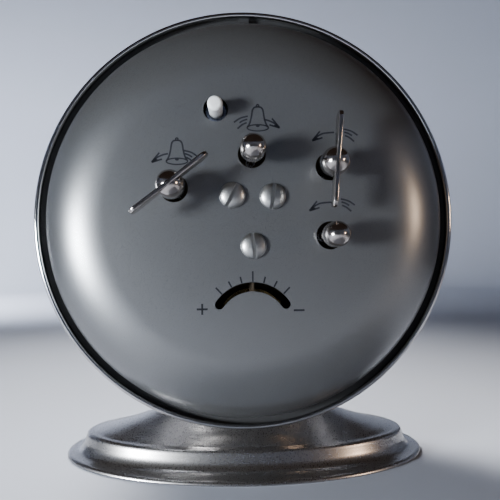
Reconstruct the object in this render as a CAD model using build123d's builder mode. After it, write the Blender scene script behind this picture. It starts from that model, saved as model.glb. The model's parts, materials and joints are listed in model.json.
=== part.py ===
"""A wind-up table alarm clock: a drum case on a pressed oval foot, a back cover that is also the
alarm's bell, and the whole movement inside.  Millimetres, +Z up, the dial faces -Y, and the origin is
under the middle of the clock.

Places across the clock are (u, w) as seen by a person who stands behind it: u to the right and w up from the
case axis.  Depths are distances behind the middle of the foot, so a negative depth is towards the dial."""

import os
from math import atan2, cos, degrees, hypot, pi, radians, sin, sqrt

from build123d import *

os.makedirs("parts", exist_ok=True)

# ---------------------------------------------------------------- driving dimensions
CASE_R = 56.0  # outer radius of the drum and of its rolled rear edge
CASE_T = 0.8
CASE_REAR = 19.0
CASE_FRONT = -17.0
BEAD = 1.4
AXIS_Z = 67.2  # height of the case axis over the table

FOOT_A, FOOT_B = 52.3, 28.25  # half width and half depth of the oval foot
FOOT_T = 0.8

COVER_R = 52.6
COVER_FLAT_R = 35.1
COVER_FLAT = 29.0  # depth of the cover's flat middle
COVER_SHOULDER = 18.0
COVER_RIM = 16.6
COVER_T = 0.7

KEY_SPAN = 22.4
KEY_HUB_R = 3.35
KEY_HUB_TOP = 11.7  # height of a key's hub over the cover's flat
KEY_LOW = -1.2  # the keys and knobs start a little inside their holes
WING_LOW, WING_TOP = 8.0, 12.3
WING_T = 0.8
KNOB_R = 3.05
KNOB_TOP = 12.5
KEY_END = COVER_FLAT + KNOB_TOP  # depth that the keys and knobs reach
KEY_HOLE_R = 3.53

DIAL_FRONT, DIAL_BACK = -12.0, -11.5
DIAL_R = 50.5
FRONT_PLATE = (-4.0, -3.0)
REAR_PLATE = (14.0, 15.2)
DUST_PLATE = (15.2, 15.9)
BEZEL_FRONT = -21.5

PIVOT_R = 0.5
ARBOR_R = 0.9
PLAY = 0.05  # radial play of a running fit
SHAKE = 0.2  # end play

# the clock's box runs from the front of the foot to the ends of the keys, and is centred on the origin
Y_SHIFT = (FOOT_B - KEY_END) / 2


# ---------------------------------------------------------------- places
def polar(start, distance, angle):
    """The place at a distance, and at an angle in degrees, from another."""
    return (start[0] + distance * cos(radians(angle)), start[1] + distance * sin(radians(angle)))


def bearing(start, end):
    """The angle in degrees of the way from one place to another."""
    return degrees(atan2(end[1] - start[1], end[0] - start[0]))


def spacing(start, end):
    """The distance between two places."""
    return hypot(end[0] - start[0], end[1] - start[1])


def meeting(a, to_a, b, to_b, side):
    """The place at given distances from a and b, on the left (1) or the right (-1) of the way from a to b."""
    apart = spacing(a, b)
    along = (to_a**2 + apart**2 - to_b**2) / (2 * apart)
    across = sqrt(to_a**2 - along**2)
    return polar(a, to_a, bearing(a, b) + side * degrees(atan2(across, along)))


def rear(place, depth):
    """A plane across the axis at a depth, with its origin at a place, facing the rear."""
    return Plane(origin=(-place[0], depth + Y_SHIFT, AXIS_Z + place[1]), x_dir=(-1, 0, 0), z_dir=(0, 1, 0))


def lathe(place):
    """A plane through the axis of a place, on which a point is (radius, depth)."""
    return Plane(origin=(-place[0], Y_SHIFT, AXIS_Z + place[1]), x_dir=(0, 0, 1), z_dir=(-1, 0, 0))


def axle(place):
    """The axis of a place, along the depth."""
    return Axis((-place[0], Y_SHIFT, AXIS_Z + place[1]), (0, 1, 0))


# tooth counts and modules
GREAT, SECOND_PINION, GREAT_MODULE = 60, 12, 0.5
SECOND, CENTRE_PINION, SECOND_MODULE = 30, 15, 0.4
CENTRE_TEETH, THIRD_PINION, CENTRE_MODULE = 64, 8, 0.4
THIRD_TEETH, FOURTH_PINION, THIRD_MODULE = 60, 8, 0.35
FOURTH_TEETH, ESCAPE_PINION, FOURTH_MODULE = 60, 8, 0.3
CANNON, MINUTE_TEETH, MINUTE_PINION, HOUR_TEETH, TIME_SET_PINION = 12, 36, 10, 40, 12
MOTION_MODULE, HOUR_MODULE = 0.5, 0.48
ALARM_TEETH, ALARM_SET_PINION = 48, 16
ALARM_GREAT, STAR_PINION = 48, 8
ESCAPE_TEETH, ESCAPE_R = 15, 3.6
STAR_TEETH, STAR_R = 12, 5.0


def centres(first, second, module):
    """The distance between the axes of two gears that mesh."""
    return (first + second) * module / 2


C = (0.0, 0.0)
TIME_KEY = (21.0, 12.8)
ALARM_KEY = (-17.9, 7.45)
ALARM_SET = polar(C, centres(ALARM_TEETH, ALARM_SET_PINION, MOTION_MODULE), 84.36)
TIME_SET = (21.1, -4.5)
BUTTON = (-7.4, 27.1)
BALANCE = (1.57, -27.2)
COVER_SCREWS = [(-3.4, 5.6), (6.67, 5.3), (1.82, -7.0)]
SCREW_SLOTS = [62.0, 97.0, 81.4]  # the way each slot points
SECOND_AT = meeting(
    C,
    centres(SECOND, CENTRE_PINION, SECOND_MODULE),
    TIME_KEY,
    centres(GREAT, SECOND_PINION, GREAT_MODULE),
    -1,
)
THIRD_AT = polar(C, centres(CENTRE_TEETH, THIRD_PINION, CENTRE_MODULE), 230)
FOURTH_AT = polar(THIRD_AT, centres(THIRD_TEETH, FOURTH_PINION, THIRD_MODULE), -19)
ESCAPE_AT = polar(FOURTH_AT, centres(FOURTH_TEETH, ESCAPE_PINION, FOURTH_MODULE), -45)
MINUTE_AT = meeting(
    C,
    centres(CANNON, MINUTE_TEETH, MOTION_MODULE),
    TIME_SET,
    centres(MINUTE_TEETH, TIME_SET_PINION, MOTION_MODULE),
    -1,
)
STAR_AT = polar(ALARM_KEY, centres(ALARM_GREAT, STAR_PINION, MOTION_MODULE), 100)
LEVER_AT = (6.5, -25.5)
HAMMER_AT = (-13.4, 22.5)
HAMMER_HEAD_AT = (-8.0, 46.0)
PILLARS = [(31, -8), (8, 28.5), (-31, -10), (-28.5, 29), (14, -34), (-12, -34)]
DIAL_FEET = [(-24, -20), (26, -22), (-24, 33)]
REGULATOR_R = 10.0
SLOT_W = 2.34
SLOT_HALF = 56.0  # half the angle of the regulator's slot


# ---------------------------------------------------------------- shared shapes
def rod(place, radius, start, end, mode=Mode.ADD):
    """A round rod, or a round hole with Mode.SUBTRACT, along the axis of a place."""
    with BuildSketch(rear(place, start)) as section:
        Circle(radius)
    extrude(section.sketch, amount=end - start, mode=mode)


def tube(place, outer, inner, start, end):
    """A tube along the axis of a place."""
    with BuildSketch(rear(place, start)) as section:
        Circle(outer)
        Circle(inner, mode=Mode.SUBTRACT)
    extrude(section.sketch, amount=end - start)


def turned(place, *points, mode=Mode.ADD):
    """A body turned about the axis of a place, from the (radius, depth) corners of half its section."""
    with BuildSketch(lathe(place)) as section:
        with BuildLine():
            Polyline(*points, close=True)
        make_face()
    revolve(section.sketch, axis=axle(place), mode=mode)


def strip(a, b, width, start, end, mode=Mode.ADD):
    """A flat bar with round ends from one place to another."""
    middle = ((a[0] + b[0]) / 2, (a[1] + b[1]) / 2)
    with BuildSketch(rear(C, start)) as section:
        with Locations(Location((*middle, 0), (0, 0, bearing(a, b)))):
            SlotCenterToCenter(spacing(a, b), width)
    extrude(section.sketch, amount=end - start, mode=mode)


def gear_corners(teeth, module, phase, pinion):
    """The corners of a gear with a tooth at phase degrees.  A pinion's leaves are thin and low."""
    pitch_r = teeth * module / 2
    half = (1.0 if pinion else 1.2) / pi / 2
    tip = pitch_r + (0.5 if pinion else 0.9) * module
    root = pitch_r - 1.2 * module
    corners = []
    for tooth in range(teeth):
        middle = phase + tooth * 360 / teeth
        for radius, share in ((root, 1.15), (pitch_r, 1.0), (tip, 0.45)):
            corners.append((radius, middle - share * half * 360 / teeth))
        for radius, share in ((tip, 0.45), (pitch_r, 1.0), (root, 1.15)):
            corners.append((radius, middle + share * half * 360 / teeth))
    return [polar(C, radius, angle) for radius, angle in corners]


def gear(place, teeth, module, phase, start, end, bore=0.0, spokes=0, pinion=False):
    """A gear; a bore leaves it free on an arbor, and spokes are left between round windows."""
    with BuildSketch(rear(place, start)) as section:
        with BuildLine():
            Polyline(*gear_corners(teeth, module, phase, pinion), close=True)
        make_face()
        if bore:
            Circle(bore, mode=Mode.SUBTRACT)
        if spokes:
            middle = teeth * module * 0.27
            with PolarLocations(middle, spokes):
                Circle(min(middle * sin(pi / spokes), teeth * module * 0.16) - 0.35, mode=Mode.SUBTRACT)
    extrude(section.sketch, amount=end - start)


def in_mesh(teeth, phase, place, other_teeth, other_place):
    """The phase of a gear that meshes with one of a given phase."""
    line = bearing(place, other_place)
    return line + 180 + 180 / other_teeth + (line - phase) * teeth / other_teeth


def saw(place, teeth, root, tip, start, end):
    """A ratchet wheel with saw teeth."""
    corners = []
    for tooth in range(teeth):
        corners.append(polar(C, root, 360 * tooth / teeth + 1))
        corners.append(polar(C, tip, 360 * tooth / teeth + 2))
    with BuildSketch(rear(place, start)) as section:
        with BuildLine():
            Polyline(*corners, close=True)
        make_face()
    extrude(section.sketch, amount=end - start)


def coil(place, inner, pitch, half_turns, thick, start, end):
    """A flat spiral spring of half circles, each half a pitch larger than the one before."""
    last = half_turns - 1
    shift = pitch / 2 if last % 2 else 0
    way = 1 if last % 2 else -1
    outer = inner + last * pitch / 2
    with BuildSketch(rear(place, start)) as section:
        with BuildLine():
            for side in (-thick / 2, thick / 2):
                for turn in range(half_turns):
                    middle = (pitch / 2 if turn % 2 else 0, 0)
                    CenterArc(middle, inner + turn * pitch / 2 + side, 180 * (turn % 2), 180)
            Line((inner - thick / 2, 0), (inner + thick / 2, 0))
            Line((shift + way * (outer - thick / 2), 0), (shift + way * (outer + thick / 2), 0))
        make_face()
    extrude(section.sketch, amount=end - start)


def save(part, name):
    """Labels a finished piece and writes its STEP file."""
    part.label = name
    export_step(part, f"parts/{name}.step")


# ---------------------------------------------------------------- case
INNER_R = CASE_R - CASE_T
with BuildPart() as case_drum:
    turned(
        C,
        (INNER_R, CASE_FRONT),
        (CASE_R - 0.1, CASE_FRONT),
        (CASE_R - 0.1, CASE_REAR - BEAD / 2),
        (INNER_R, CASE_REAR - BEAD / 2),
    )
    with BuildSketch(lathe(C)) as bead:
        with Locations((CASE_R - BEAD / 2, CASE_REAR - BEAD / 2)):
            Circle(BEAD / 2)
    revolve(bead.sketch, axis=axle(C))
    with BuildSketch(Plane.XY.offset(AXIS_Z - CASE_R - 2)) as foot_hole:
        with Locations((0, Y_SHIFT)):
            Circle(2.1)
    extrude(foot_hole.sketch, amount=6, mode=Mode.SUBTRACT)
save(case_drum.part, "case_drum")

BEZEL_SEAT = CASE_FRONT
with BuildPart() as bezel:
    turned(
        C,
        (CASE_R - 0.1, BEZEL_SEAT),
        (CASE_R + 0.5, BEZEL_SEAT - 0.5),
        (CASE_R + 0.3, BEZEL_SEAT - 2.0),
        (CASE_R - 1.4, BEZEL_FRONT + 0.4),
        (CASE_R - 3.0, BEZEL_FRONT),
        (CASE_R - 5.0, BEZEL_FRONT + 0.7),
        (CASE_R - 6.4, BEZEL_FRONT + 1.9),
        (CASE_R - 4.4, BEZEL_FRONT + 2.6),
        (CASE_R - 4.4, BEZEL_SEAT),
        (CASE_R - 1.2, BEZEL_SEAT),
        (CASE_R - 1.2, BEZEL_SEAT + 2.0),
        (INNER_R, BEZEL_SEAT + 2.0),
        (INNER_R, BEZEL_SEAT),
    )
save(bezel.part, "bezel")

GLASS_R = CASE_R - 4.4
GLASS_SEAT = BEZEL_FRONT + 2.6
GLASS_T = 1.5
GLASS_RISE = 5.6
DOME_R = (GLASS_R**2 + GLASS_RISE**2) / (2 * GLASS_RISE)
DOME_HALF = degrees(atan2(GLASS_R, DOME_R - GLASS_RISE))
with BuildPart() as glass:
    with BuildSketch(lathe(C)) as section:
        with BuildLine():
            for depth in (GLASS_SEAT, GLASS_SEAT + GLASS_T):
                CenterArc((0, depth - GLASS_RISE + DOME_R), DOME_R, -90, DOME_HALF)
            Line((GLASS_R, GLASS_SEAT), (GLASS_R, GLASS_SEAT + GLASS_T))
            Line((0, GLASS_SEAT - GLASS_RISE), (0, GLASS_SEAT - GLASS_RISE + GLASS_T))
        make_face()
    revolve(section.sketch, axis=axle(C))
save(glass.part, "glass")

with BuildPart() as dial_surround:
    turned(
        C,
        (GLASS_R - 0.8, GLASS_SEAT + GLASS_T),
        (GLASS_R, GLASS_SEAT + GLASS_T),
        (GLASS_R, CASE_FRONT + 2.4),
        (INNER_R, CASE_FRONT + 2.4),
        (INNER_R, DIAL_BACK),
        (DIAL_R, DIAL_BACK),
        (DIAL_R, DIAL_FRONT),
        (DIAL_R - 1.5, DIAL_FRONT),
        (DIAL_R - 1.5, DIAL_FRONT - 0.5),
    )
save(dial_surround.part, "dial_surround")

with BuildPart() as dial:
    tube(C, DIAL_R, 3.7, DIAL_FRONT, DIAL_BACK)
    for place in DIAL_FEET:
        rod(place, 1.2, DIAL_BACK, FRONT_PLATE[0])
save(dial.part, "dial")

PLATE_OUTLINE = [
    (-36, -14),
    (-36, 30),
    (-27, 38),
    (10, 37),
    (27, 31),
    (37, 14),
    (37, -18),
    (20, -40),
    (-16, -40),
]


def plate_outline(grow=0.0):
    """The movement's outline, grown outwards by an amount."""
    with BuildSketch() as outline:
        with BuildLine():
            Polyline(*PLATE_OUTLINE, close=True)
        make_face()
        if grow:
            offset(amount=grow, kind=Kind.INTERSECTION)
    return outline.sketch


with BuildPart() as dust_plate:
    with BuildSketch(rear(C, DUST_PLATE[0])) as section:
        Circle(INNER_R)
        add(plate_outline(-2.0), mode=Mode.SUBTRACT)
    extrude(section.sketch, amount=DUST_PLATE[1] - DUST_PLATE[0])
    with BuildSketch(rear((0, 53.6), DUST_PLATE[1])) as lug:
        Rectangle(2.6, 1.6)
    extrude(lug.sketch, amount=2.4)
save(dust_plate.part, "dust_plate")

with BuildPart() as rear_cover:
    with BuildSketch(lathe(C)) as section:
        with BuildLine():
            Line((0, COVER_FLAT), (COVER_FLAT_R, COVER_FLAT))
            EllipticalCenterArc(
                (COVER_FLAT_R, COVER_SHOULDER),
                COVER_R - COVER_FLAT_R,
                COVER_FLAT - COVER_SHOULDER,
                arc_size=90,
            )
            Polyline((COVER_R, COVER_SHOULDER), (COVER_R, COVER_RIM), (COVER_R - COVER_T, COVER_RIM))
            Line((COVER_R - COVER_T, COVER_RIM), (COVER_R - COVER_T, COVER_SHOULDER))
            EllipticalCenterArc(
                (COVER_FLAT_R, COVER_SHOULDER),
                COVER_R - COVER_FLAT_R - COVER_T,
                COVER_FLAT - COVER_SHOULDER - COVER_T,
                arc_size=90,
            )
            Line((COVER_FLAT_R, COVER_FLAT - COVER_T), (0, COVER_FLAT - COVER_T))
            Line((0, COVER_FLAT - COVER_T), (0, COVER_FLAT))
        make_face()
    revolve(section.sketch, axis=axle(C))
    for place in (TIME_KEY, ALARM_KEY, ALARM_SET, TIME_SET):
        rod(place, KEY_HOLE_R, COVER_FLAT - 3, COVER_FLAT + 1, mode=Mode.SUBTRACT)
    rod(BUTTON, 3.1, COVER_FLAT - 3, COVER_FLAT + 1, mode=Mode.SUBTRACT)
    for place in COVER_SCREWS:
        rod(place, 1.3, COVER_FLAT - 3, COVER_FLAT + 1, mode=Mode.SUBTRACT)
    with BuildSketch(rear(BALANCE, COVER_FLAT - 3)) as slot:
        with BuildLine():
            for radius in (REGULATOR_R - SLOT_W / 2, REGULATOR_R + SLOT_W / 2):
                CenterArc((0, 0), radius, 90 - SLOT_HALF, 2 * SLOT_HALF)
            CenterArc(polar(C, REGULATOR_R, 90 + SLOT_HALF), SLOT_W / 2, 90 + SLOT_HALF, 180)
            CenterArc(polar(C, REGULATOR_R, 90 - SLOT_HALF), SLOT_W / 2, 90 - SLOT_HALF, -180)
        make_face()
    extrude(slot.sketch, amount=4, mode=Mode.SUBTRACT)
save(rear_cover.part, "rear_cover")


# ---------------------------------------------------------------- foot
FOOT_STEPS = [  # (half width, half depth, height)
    (48.4, 22.8, 0.0),
    (48.4, 22.8, 1.2),
    (47.6, 21.9, 3.0),
    (46.7, 20.9, 5.9),
    (45.3, 19.8, 6.6),
    (38.3, 17.3, 8.1),
    (33.5, 15.9, 9.5),
    (30.3, 14.8, 10.6),
    (26.2, 13.3, 12.4),
    (22.5, 12.0, 14.8),
    (19.5, 10.5, 19.0),
]
FLANGE_H = 1.2

with BuildPart() as foot:
    for half_width, half_depth, height in FOOT_STEPS:
        with BuildSketch(Plane((0, Y_SHIFT, height))):
            Ellipse(half_width, half_depth)
    loft(ruled=True)
    with BuildSketch(Plane((0, Y_SHIFT, 0))) as flange:
        Ellipse(FOOT_A, FOOT_B)
    extrude(flange.sketch, amount=FLANGE_H)
    with BuildPart(mode=Mode.PRIVATE) as hollow:
        for half_width, half_depth, height in FOOT_STEPS:
            with BuildSketch(Plane((0, Y_SHIFT, height - FOOT_T * (height > 2)))):
                Ellipse(half_width - FOOT_T, half_depth - FOOT_T)
        loft(ruled=True)
        rod(C, CASE_R - 0.1 + FOOT_T, -40, 40, mode=Mode.SUBTRACT)
    add(hollow.part, mode=Mode.SUBTRACT)
    rod(C, CASE_R - 0.1, -40, 40, mode=Mode.SUBTRACT)
    with BuildSketch(Plane((0, Y_SHIFT, 8))) as screw_hole:
        Circle(1.7)
    extrude(screw_hole.sketch, amount=8, mode=Mode.SUBTRACT)
save(foot.part, "foot")

DRUM_LOW = AXIS_Z - CASE_R + 0.1  # the drum's lowest outside
WELL_TOP = DRUM_LOW - FOOT_T
with BuildPart() as foot_screw:
    with BuildSketch(Plane((0, Y_SHIFT, WELL_TOP - 1.8))) as head:
        Circle(3.2)
        Rectangle(0.9, 7, mode=Mode.SUBTRACT)
    extrude(head.sketch, amount=1.8)
    with BuildSketch(Plane((0, Y_SHIFT, WELL_TOP))) as shank:
        Circle(1.5)
    extrude(shank.sketch, amount=4.6)
save(foot_screw.part, "foot_screw")

with BuildPart() as foot_clamp:
    with BuildSketch(Plane((0, Y_SHIFT, DRUM_LOW))) as clamp:
        Rectangle(16, 12)
    extrude(clamp.sketch, amount=3.4)
    with BuildPart(mode=Mode.PRIVATE) as inside:
        rod(C, INNER_R, -10, 10)
    add(inside.part, mode=Mode.INTERSECT)
    with BuildSketch(Plane((0, Y_SHIFT, DRUM_LOW))) as thread:
        Circle(1.5)
    extrude(thread.sketch, amount=5, mode=Mode.SUBTRACT)
save(foot_clamp.part, "foot_clamp")


# ---------------------------------------------------------------- movement frame
PIVOTS = [THIRD_AT, FOURTH_AT, ESCAPE_AT, LEVER_AT, STAR_AT]
THROUGH = [TIME_KEY, ALARM_KEY, TIME_SET, ALARM_SET]
BEARING_R = 1.2

with BuildPart() as front_plate:
    with BuildSketch(rear(C, FRONT_PLATE[0])) as section:
        add(plate_outline())
        with Locations(*PIVOTS, BALANCE, HAMMER_AT):
            Circle(PIVOT_R + PLAY, mode=Mode.SUBTRACT)
        with Locations(*THROUGH):
            Circle(BEARING_R + PLAY, mode=Mode.SUBTRACT)
        with Locations(C):
            Circle(BEARING_R + PLAY, mode=Mode.SUBTRACT)
        with Locations((1.0, -11.0), (19, -24)):
            Circle(3.0, mode=Mode.SUBTRACT)
    extrude(section.sketch, amount=FRONT_PLATE[1] - FRONT_PLATE[0])
save(front_plate.part, "front_plate")

with BuildPart() as rear_plate:
    with BuildSketch(rear(C, REAR_PLATE[0])) as section:
        add(plate_outline())
        with Locations(THIRD_AT, FOURTH_AT, ESCAPE_AT, LEVER_AT, STAR_AT, C):
            Circle(PIVOT_R + PLAY, mode=Mode.SUBTRACT)
        with Locations(*THROUGH):
            Circle(BEARING_R + PLAY, mode=Mode.SUBTRACT)
        with Locations(BALANCE, BUTTON):
            Circle(1.9, mode=Mode.SUBTRACT)
        with Locations(HAMMER_AT):
            Circle(PIVOT_R + 0.4 + PLAY, mode=Mode.SUBTRACT)
    extrude(section.sketch, amount=REAR_PLATE[1] - REAR_PLATE[0])
save(rear_plate.part, "rear_plate")

with BuildPart() as pillars:
    for place in PILLARS:
        rod(place, 2.4, FRONT_PLATE[1], REAR_PLATE[0])
save(pillars.part, "pillars")

with BuildPart() as pillar_nuts:
    for place in PILLARS:
        with BuildSketch(rear(place, REAR_PLATE[1])) as nut:
            RegularPolygon(2.9, 6)
        extrude(nut.sketch, amount=2.0)
save(pillar_nuts.part, "pillar_nuts")

POST_END = COVER_FLAT - COVER_T
THREAD_END = POST_END - 4.0
with BuildPart() as cover_posts:
    for place in COVER_SCREWS:
        rod(place, 2.1, REAR_PLATE[1], POST_END)
        rod(place, 1.1, THREAD_END, POST_END, mode=Mode.SUBTRACT)
save(cover_posts.part, "cover_posts")

SCREW_HEAD_R, SCREW_HEAD_H = 3.25, 1.8
SCREW_SLOT_T, SCREW_SLOT_FLOOR = 1.0, 0.8
with BuildPart() as cover_screws:
    for place, angle in zip(COVER_SCREWS, SCREW_SLOTS):
        rod(place, 1.1, THREAD_END, COVER_FLAT)
        with BuildSketch(lathe(place)) as head:
            with BuildLine():
                Line((0, COVER_FLAT), (SCREW_HEAD_R, COVER_FLAT))
                Line((SCREW_HEAD_R, COVER_FLAT), (SCREW_HEAD_R, COVER_FLAT + 0.5))
                EllipticalCenterArc((0, COVER_FLAT + 0.5), SCREW_HEAD_R, SCREW_HEAD_H - 0.5, arc_size=90)
                Line((0, COVER_FLAT + SCREW_HEAD_H), (0, COVER_FLAT))
            make_face()
        revolve(head.sketch, axis=axle(place))
        with BuildSketch(rear(place, COVER_FLAT + SCREW_SLOT_FLOOR)) as slot:
            Rectangle(3 * SCREW_HEAD_R, SCREW_SLOT_T, rotation=angle)
        extrude(slot.sketch, amount=2, mode=Mode.SUBTRACT)
save(cover_screws.part, "cover_screws")


# ---------------------------------------------------------------- winding and going train
WEB_HALF = 1.2  # the wing narrows this far to each side of the hub's middle
WEB_H = 3.4
WING_CORNER = 1.6
KEY_BORE_R, KEY_GRIP = 1.1, 3.0  # the arbor fills the bore, up to this height over the flat
NECK_R, NECK_TOP, HEAD_LOW = 1.8, 4.0, 5.4  # keys and knobs stand on a thinner neck
KNOB_BORE_R, KNOB_GRIP = 1.0, 5.0


def key(place, angle):
    """A wing key: a domed hub, and a thin wing that bears off to both sides of it."""
    dome_at = COVER_FLAT + KEY_HUB_TOP - KEY_HUB_R
    with BuildPart() as made:
        with BuildSketch(lathe(place)) as hub:
            with BuildLine():
                Polyline(
                    (0, COVER_FLAT + KEY_LOW),
                    (NECK_R, COVER_FLAT + KEY_LOW),
                    (NECK_R, COVER_FLAT + NECK_TOP),
                    (KEY_HUB_R, COVER_FLAT + HEAD_LOW),
                    (KEY_HUB_R, dome_at),
                )
                CenterArc((0, dome_at), KEY_HUB_R, 0, 90)
                Line((0, dome_at + KEY_HUB_R), (0, COVER_FLAT + KEY_LOW))
            make_face()
        revolve(hub.sketch, axis=axle(place))
        across = polar(C, 1, angle)
        wing_plane = Plane(
            origin=(-place[0], COVER_FLAT + Y_SHIFT, AXIS_Z + place[1]),
            x_dir=(-across[0], 0, across[1]),
            z_dir=(-across[1], 0, -across[0]),
        )
        wing_middle = (WING_LOW + WING_TOP) / 2
        half_span = KEY_SPAN / 2 - WEB_HALF
        with BuildSketch(wing_plane) as wing:
            with Locations((-WEB_HALF - half_span / 2, wing_middle), (WEB_HALF + half_span / 2, wing_middle)):
                RectangleRounded(half_span, WING_TOP - WING_LOW, WING_CORNER)
            with Locations((0, WING_LOW + WEB_H / 2 + 0.5)):
                Rectangle(2 * WEB_HALF + 3, WEB_H)
        extrude(wing.sketch, amount=WING_T / 2, both=True)
        rod(place, KEY_BORE_R, COVER_FLAT + KEY_LOW - 1, COVER_FLAT + KEY_GRIP, mode=Mode.SUBTRACT)
    return made.part


def knob(place):
    """A small setting knob with a domed end, screwed to the end of its arbor."""
    dome_at = COVER_FLAT + KNOB_TOP - KNOB_R
    with BuildPart() as made:
        with BuildSketch(lathe(place)) as half:
            with BuildLine():
                Polyline(
                    (0, COVER_FLAT + KEY_LOW),
                    (NECK_R, COVER_FLAT + KEY_LOW),
                    (NECK_R, COVER_FLAT + NECK_TOP),
                    (KNOB_R, COVER_FLAT + HEAD_LOW),
                    (KNOB_R, dome_at),
                )
                CenterArc((0, dome_at), KNOB_R, 0, 90)
                Line((0, dome_at + KNOB_R), (0, COVER_FLAT + KEY_LOW))
            make_face()
        revolve(half.sketch, axis=axle(place))
        rod(place, KNOB_BORE_R, COVER_FLAT + KEY_LOW - 1, COVER_FLAT + KNOB_GRIP, mode=Mode.SUBTRACT)
    return made.part


TIME_KEY_LEAN, ALARM_KEY_LEAN = 85.8, 38.0  # the way each wing lies, in degrees
save(key(TIME_KEY, TIME_KEY_LEAN), "time_key")
save(key(ALARM_KEY, ALARM_KEY_LEAN), "alarm_key")
save(knob(TIME_SET), "time_set_knob")
save(knob(ALARM_SET), "alarm_set_knob")

# the layers that the wheels turn in, from the cover's side of the front plate rearwards
GREAT_Y = (-2.5, -1.4)
SECOND_Y = (-0.6, 0.2)
FOURTH_Y = (6.2, 7.0)
THIRD_Y = (8.6, 9.4)
CENTRE_Y = (11.2, 12.0)
PINION_OVER = 0.4  # a pinion stands past the wheel that drives it by this much
ARBOR_END = REAR_PLATE[1] + 0.6  # where the thick part of a key's or knob's arbor stops
BARREL_Y = (0.9, 10.9)  # outside faces of the barrel's floor and lid
BARREL_R = 13.9
BARREL_T = 0.6
RATCHET_Y = (11.4, 12.8)

with BuildPart() as time_arbor:
    rod(TIME_KEY, BEARING_R, FRONT_PLATE[0] - 0.4, ARBOR_END)
    rod(TIME_KEY, KEY_BORE_R, ARBOR_END, COVER_FLAT + KEY_GRIP)
    rod(TIME_KEY, 2.4, BARREL_Y[0] + BARREL_T + SHAKE, BARREL_Y[1] - BARREL_T - SHAKE)
    saw(TIME_KEY, 16, 4.2, 5.4, *RATCHET_Y)  # 16 ratchet teeth, between these radii
save(time_arbor.part, "time_winding_arbor")

with BuildPart() as barrel:
    gear(TIME_KEY, GREAT, GREAT_MODULE, 0, *GREAT_Y, bore=BEARING_R + PLAY)
    tube(TIME_KEY, 6.0, BEARING_R + PLAY, GREAT_Y[1], BARREL_Y[0])
    tube(TIME_KEY, BARREL_R, BEARING_R + PLAY, BARREL_Y[0], BARREL_Y[0] + BARREL_T)
    tube(TIME_KEY, BARREL_R, BARREL_R - BARREL_T, BARREL_Y[0] + BARREL_T, BARREL_Y[1] - BARREL_T)
save(barrel.part, "spring_barrel")

with BuildPart() as barrel_lid:
    tube(TIME_KEY, BARREL_R, BEARING_R + PLAY, BARREL_Y[1] - BARREL_T, BARREL_Y[1])
save(barrel_lid.part, "barrel_lid")

with BuildPart() as click:
    CLICK_AT = polar(TIME_KEY, 9.5, -60)
    rod(CLICK_AT, 1.1, RATCHET_Y[0] + 0.2, REAR_PLATE[0])
    strip(CLICK_AT, polar(TIME_KEY, 6.3, -25), 1.3, RATCHET_Y[0] + 0.2, RATCHET_Y[1] - 0.2)
save(click.part, "click")

with BuildPart() as time_mainspring:
    coil(TIME_KEY, 2.9, 1.5, 13, 0.35, 2.2, 9.6)
save(time_mainspring.part, "time_mainspring")

SECOND_PHASE = in_mesh(GREAT, 0, TIME_KEY, SECOND_PINION, SECOND_AT)
with BuildPart() as second_wheel:
    pinion_start = GREAT_Y[0] - 0.2
    gear(
        SECOND_AT, SECOND_PINION, GREAT_MODULE, SECOND_PHASE, pinion_start, SECOND_Y[0],
        bore=ARBOR_R + PLAY, pinion=True,
    )
    gear(SECOND_AT, SECOND, SECOND_MODULE, 0, *SECOND_Y, bore=ARBOR_R + PLAY)
save(second_wheel.part, "second_wheel")

with BuildPart() as second_stud:
    rod(SECOND_AT, ARBOR_R, FRONT_PLATE[1], SECOND_Y[1] + 0.4)
    rod(SECOND_AT, 1.7, SECOND_Y[1] + 0.2, SECOND_Y[1] + 0.8)
save(second_stud.part, "second_stud")


def arbor(place, front=FRONT_PLATE[0] + SHAKE, end=REAR_PLATE[1] - SHAKE):
    """A wheel's arbor between the plates, with a pivot in each."""
    rod(place, ARBOR_R, FRONT_PLATE[1] + SHAKE, REAR_PLATE[0] - SHAKE)
    rod(place, PIVOT_R, front, end)


HANDS_END = -16.9  # the front end of the centre arbor, just past the minute hand
CENTRE_PHASE = in_mesh(SECOND, 0, SECOND_AT, CENTRE_PINION, C)
with BuildPart() as centre_wheel:
    rod(C, BEARING_R, FRONT_PLATE[1] - 1.2, FRONT_PLATE[1] + SHAKE)
    rod(C, ARBOR_R, HANDS_END, REAR_PLATE[0] - SHAKE)
    rod(C, PIVOT_R, REAR_PLATE[0] - 1, REAR_PLATE[1] - SHAKE)
    gear(C, CENTRE_PINION, SECOND_MODULE, CENTRE_PHASE, SECOND_Y[0] - 0.2, SECOND_Y[1] + 0.3, pinion=True)
    gear(C, CENTRE_TEETH, CENTRE_MODULE, 0, *CENTRE_Y, spokes=5)
save(centre_wheel.part, "centre_wheel")

THIRD_PHASE = in_mesh(CENTRE_TEETH, 0, C, THIRD_PINION, THIRD_AT)
with BuildPart() as third_wheel:
    arbor(THIRD_AT)
    pinion_y = (CENTRE_Y[0] - PINION_OVER, CENTRE_Y[1] + 0.3)
    gear(THIRD_AT, THIRD_PINION, CENTRE_MODULE, THIRD_PHASE, *pinion_y, pinion=True)
    gear(THIRD_AT, THIRD_TEETH, THIRD_MODULE, 0, *THIRD_Y, spokes=5)
save(third_wheel.part, "third_wheel")

FOURTH_PHASE = in_mesh(THIRD_TEETH, 0, THIRD_AT, FOURTH_PINION, FOURTH_AT)
with BuildPart() as fourth_wheel:
    arbor(FOURTH_AT)
    pinion_y = (THIRD_Y[0] - PINION_OVER, THIRD_Y[1] + PINION_OVER)
    gear(FOURTH_AT, FOURTH_PINION, THIRD_MODULE, FOURTH_PHASE, *pinion_y, pinion=True)
    gear(FOURTH_AT, FOURTH_TEETH, FOURTH_MODULE, 0, *FOURTH_Y, spokes=4)
save(fourth_wheel.part, "fourth_wheel")

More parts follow.
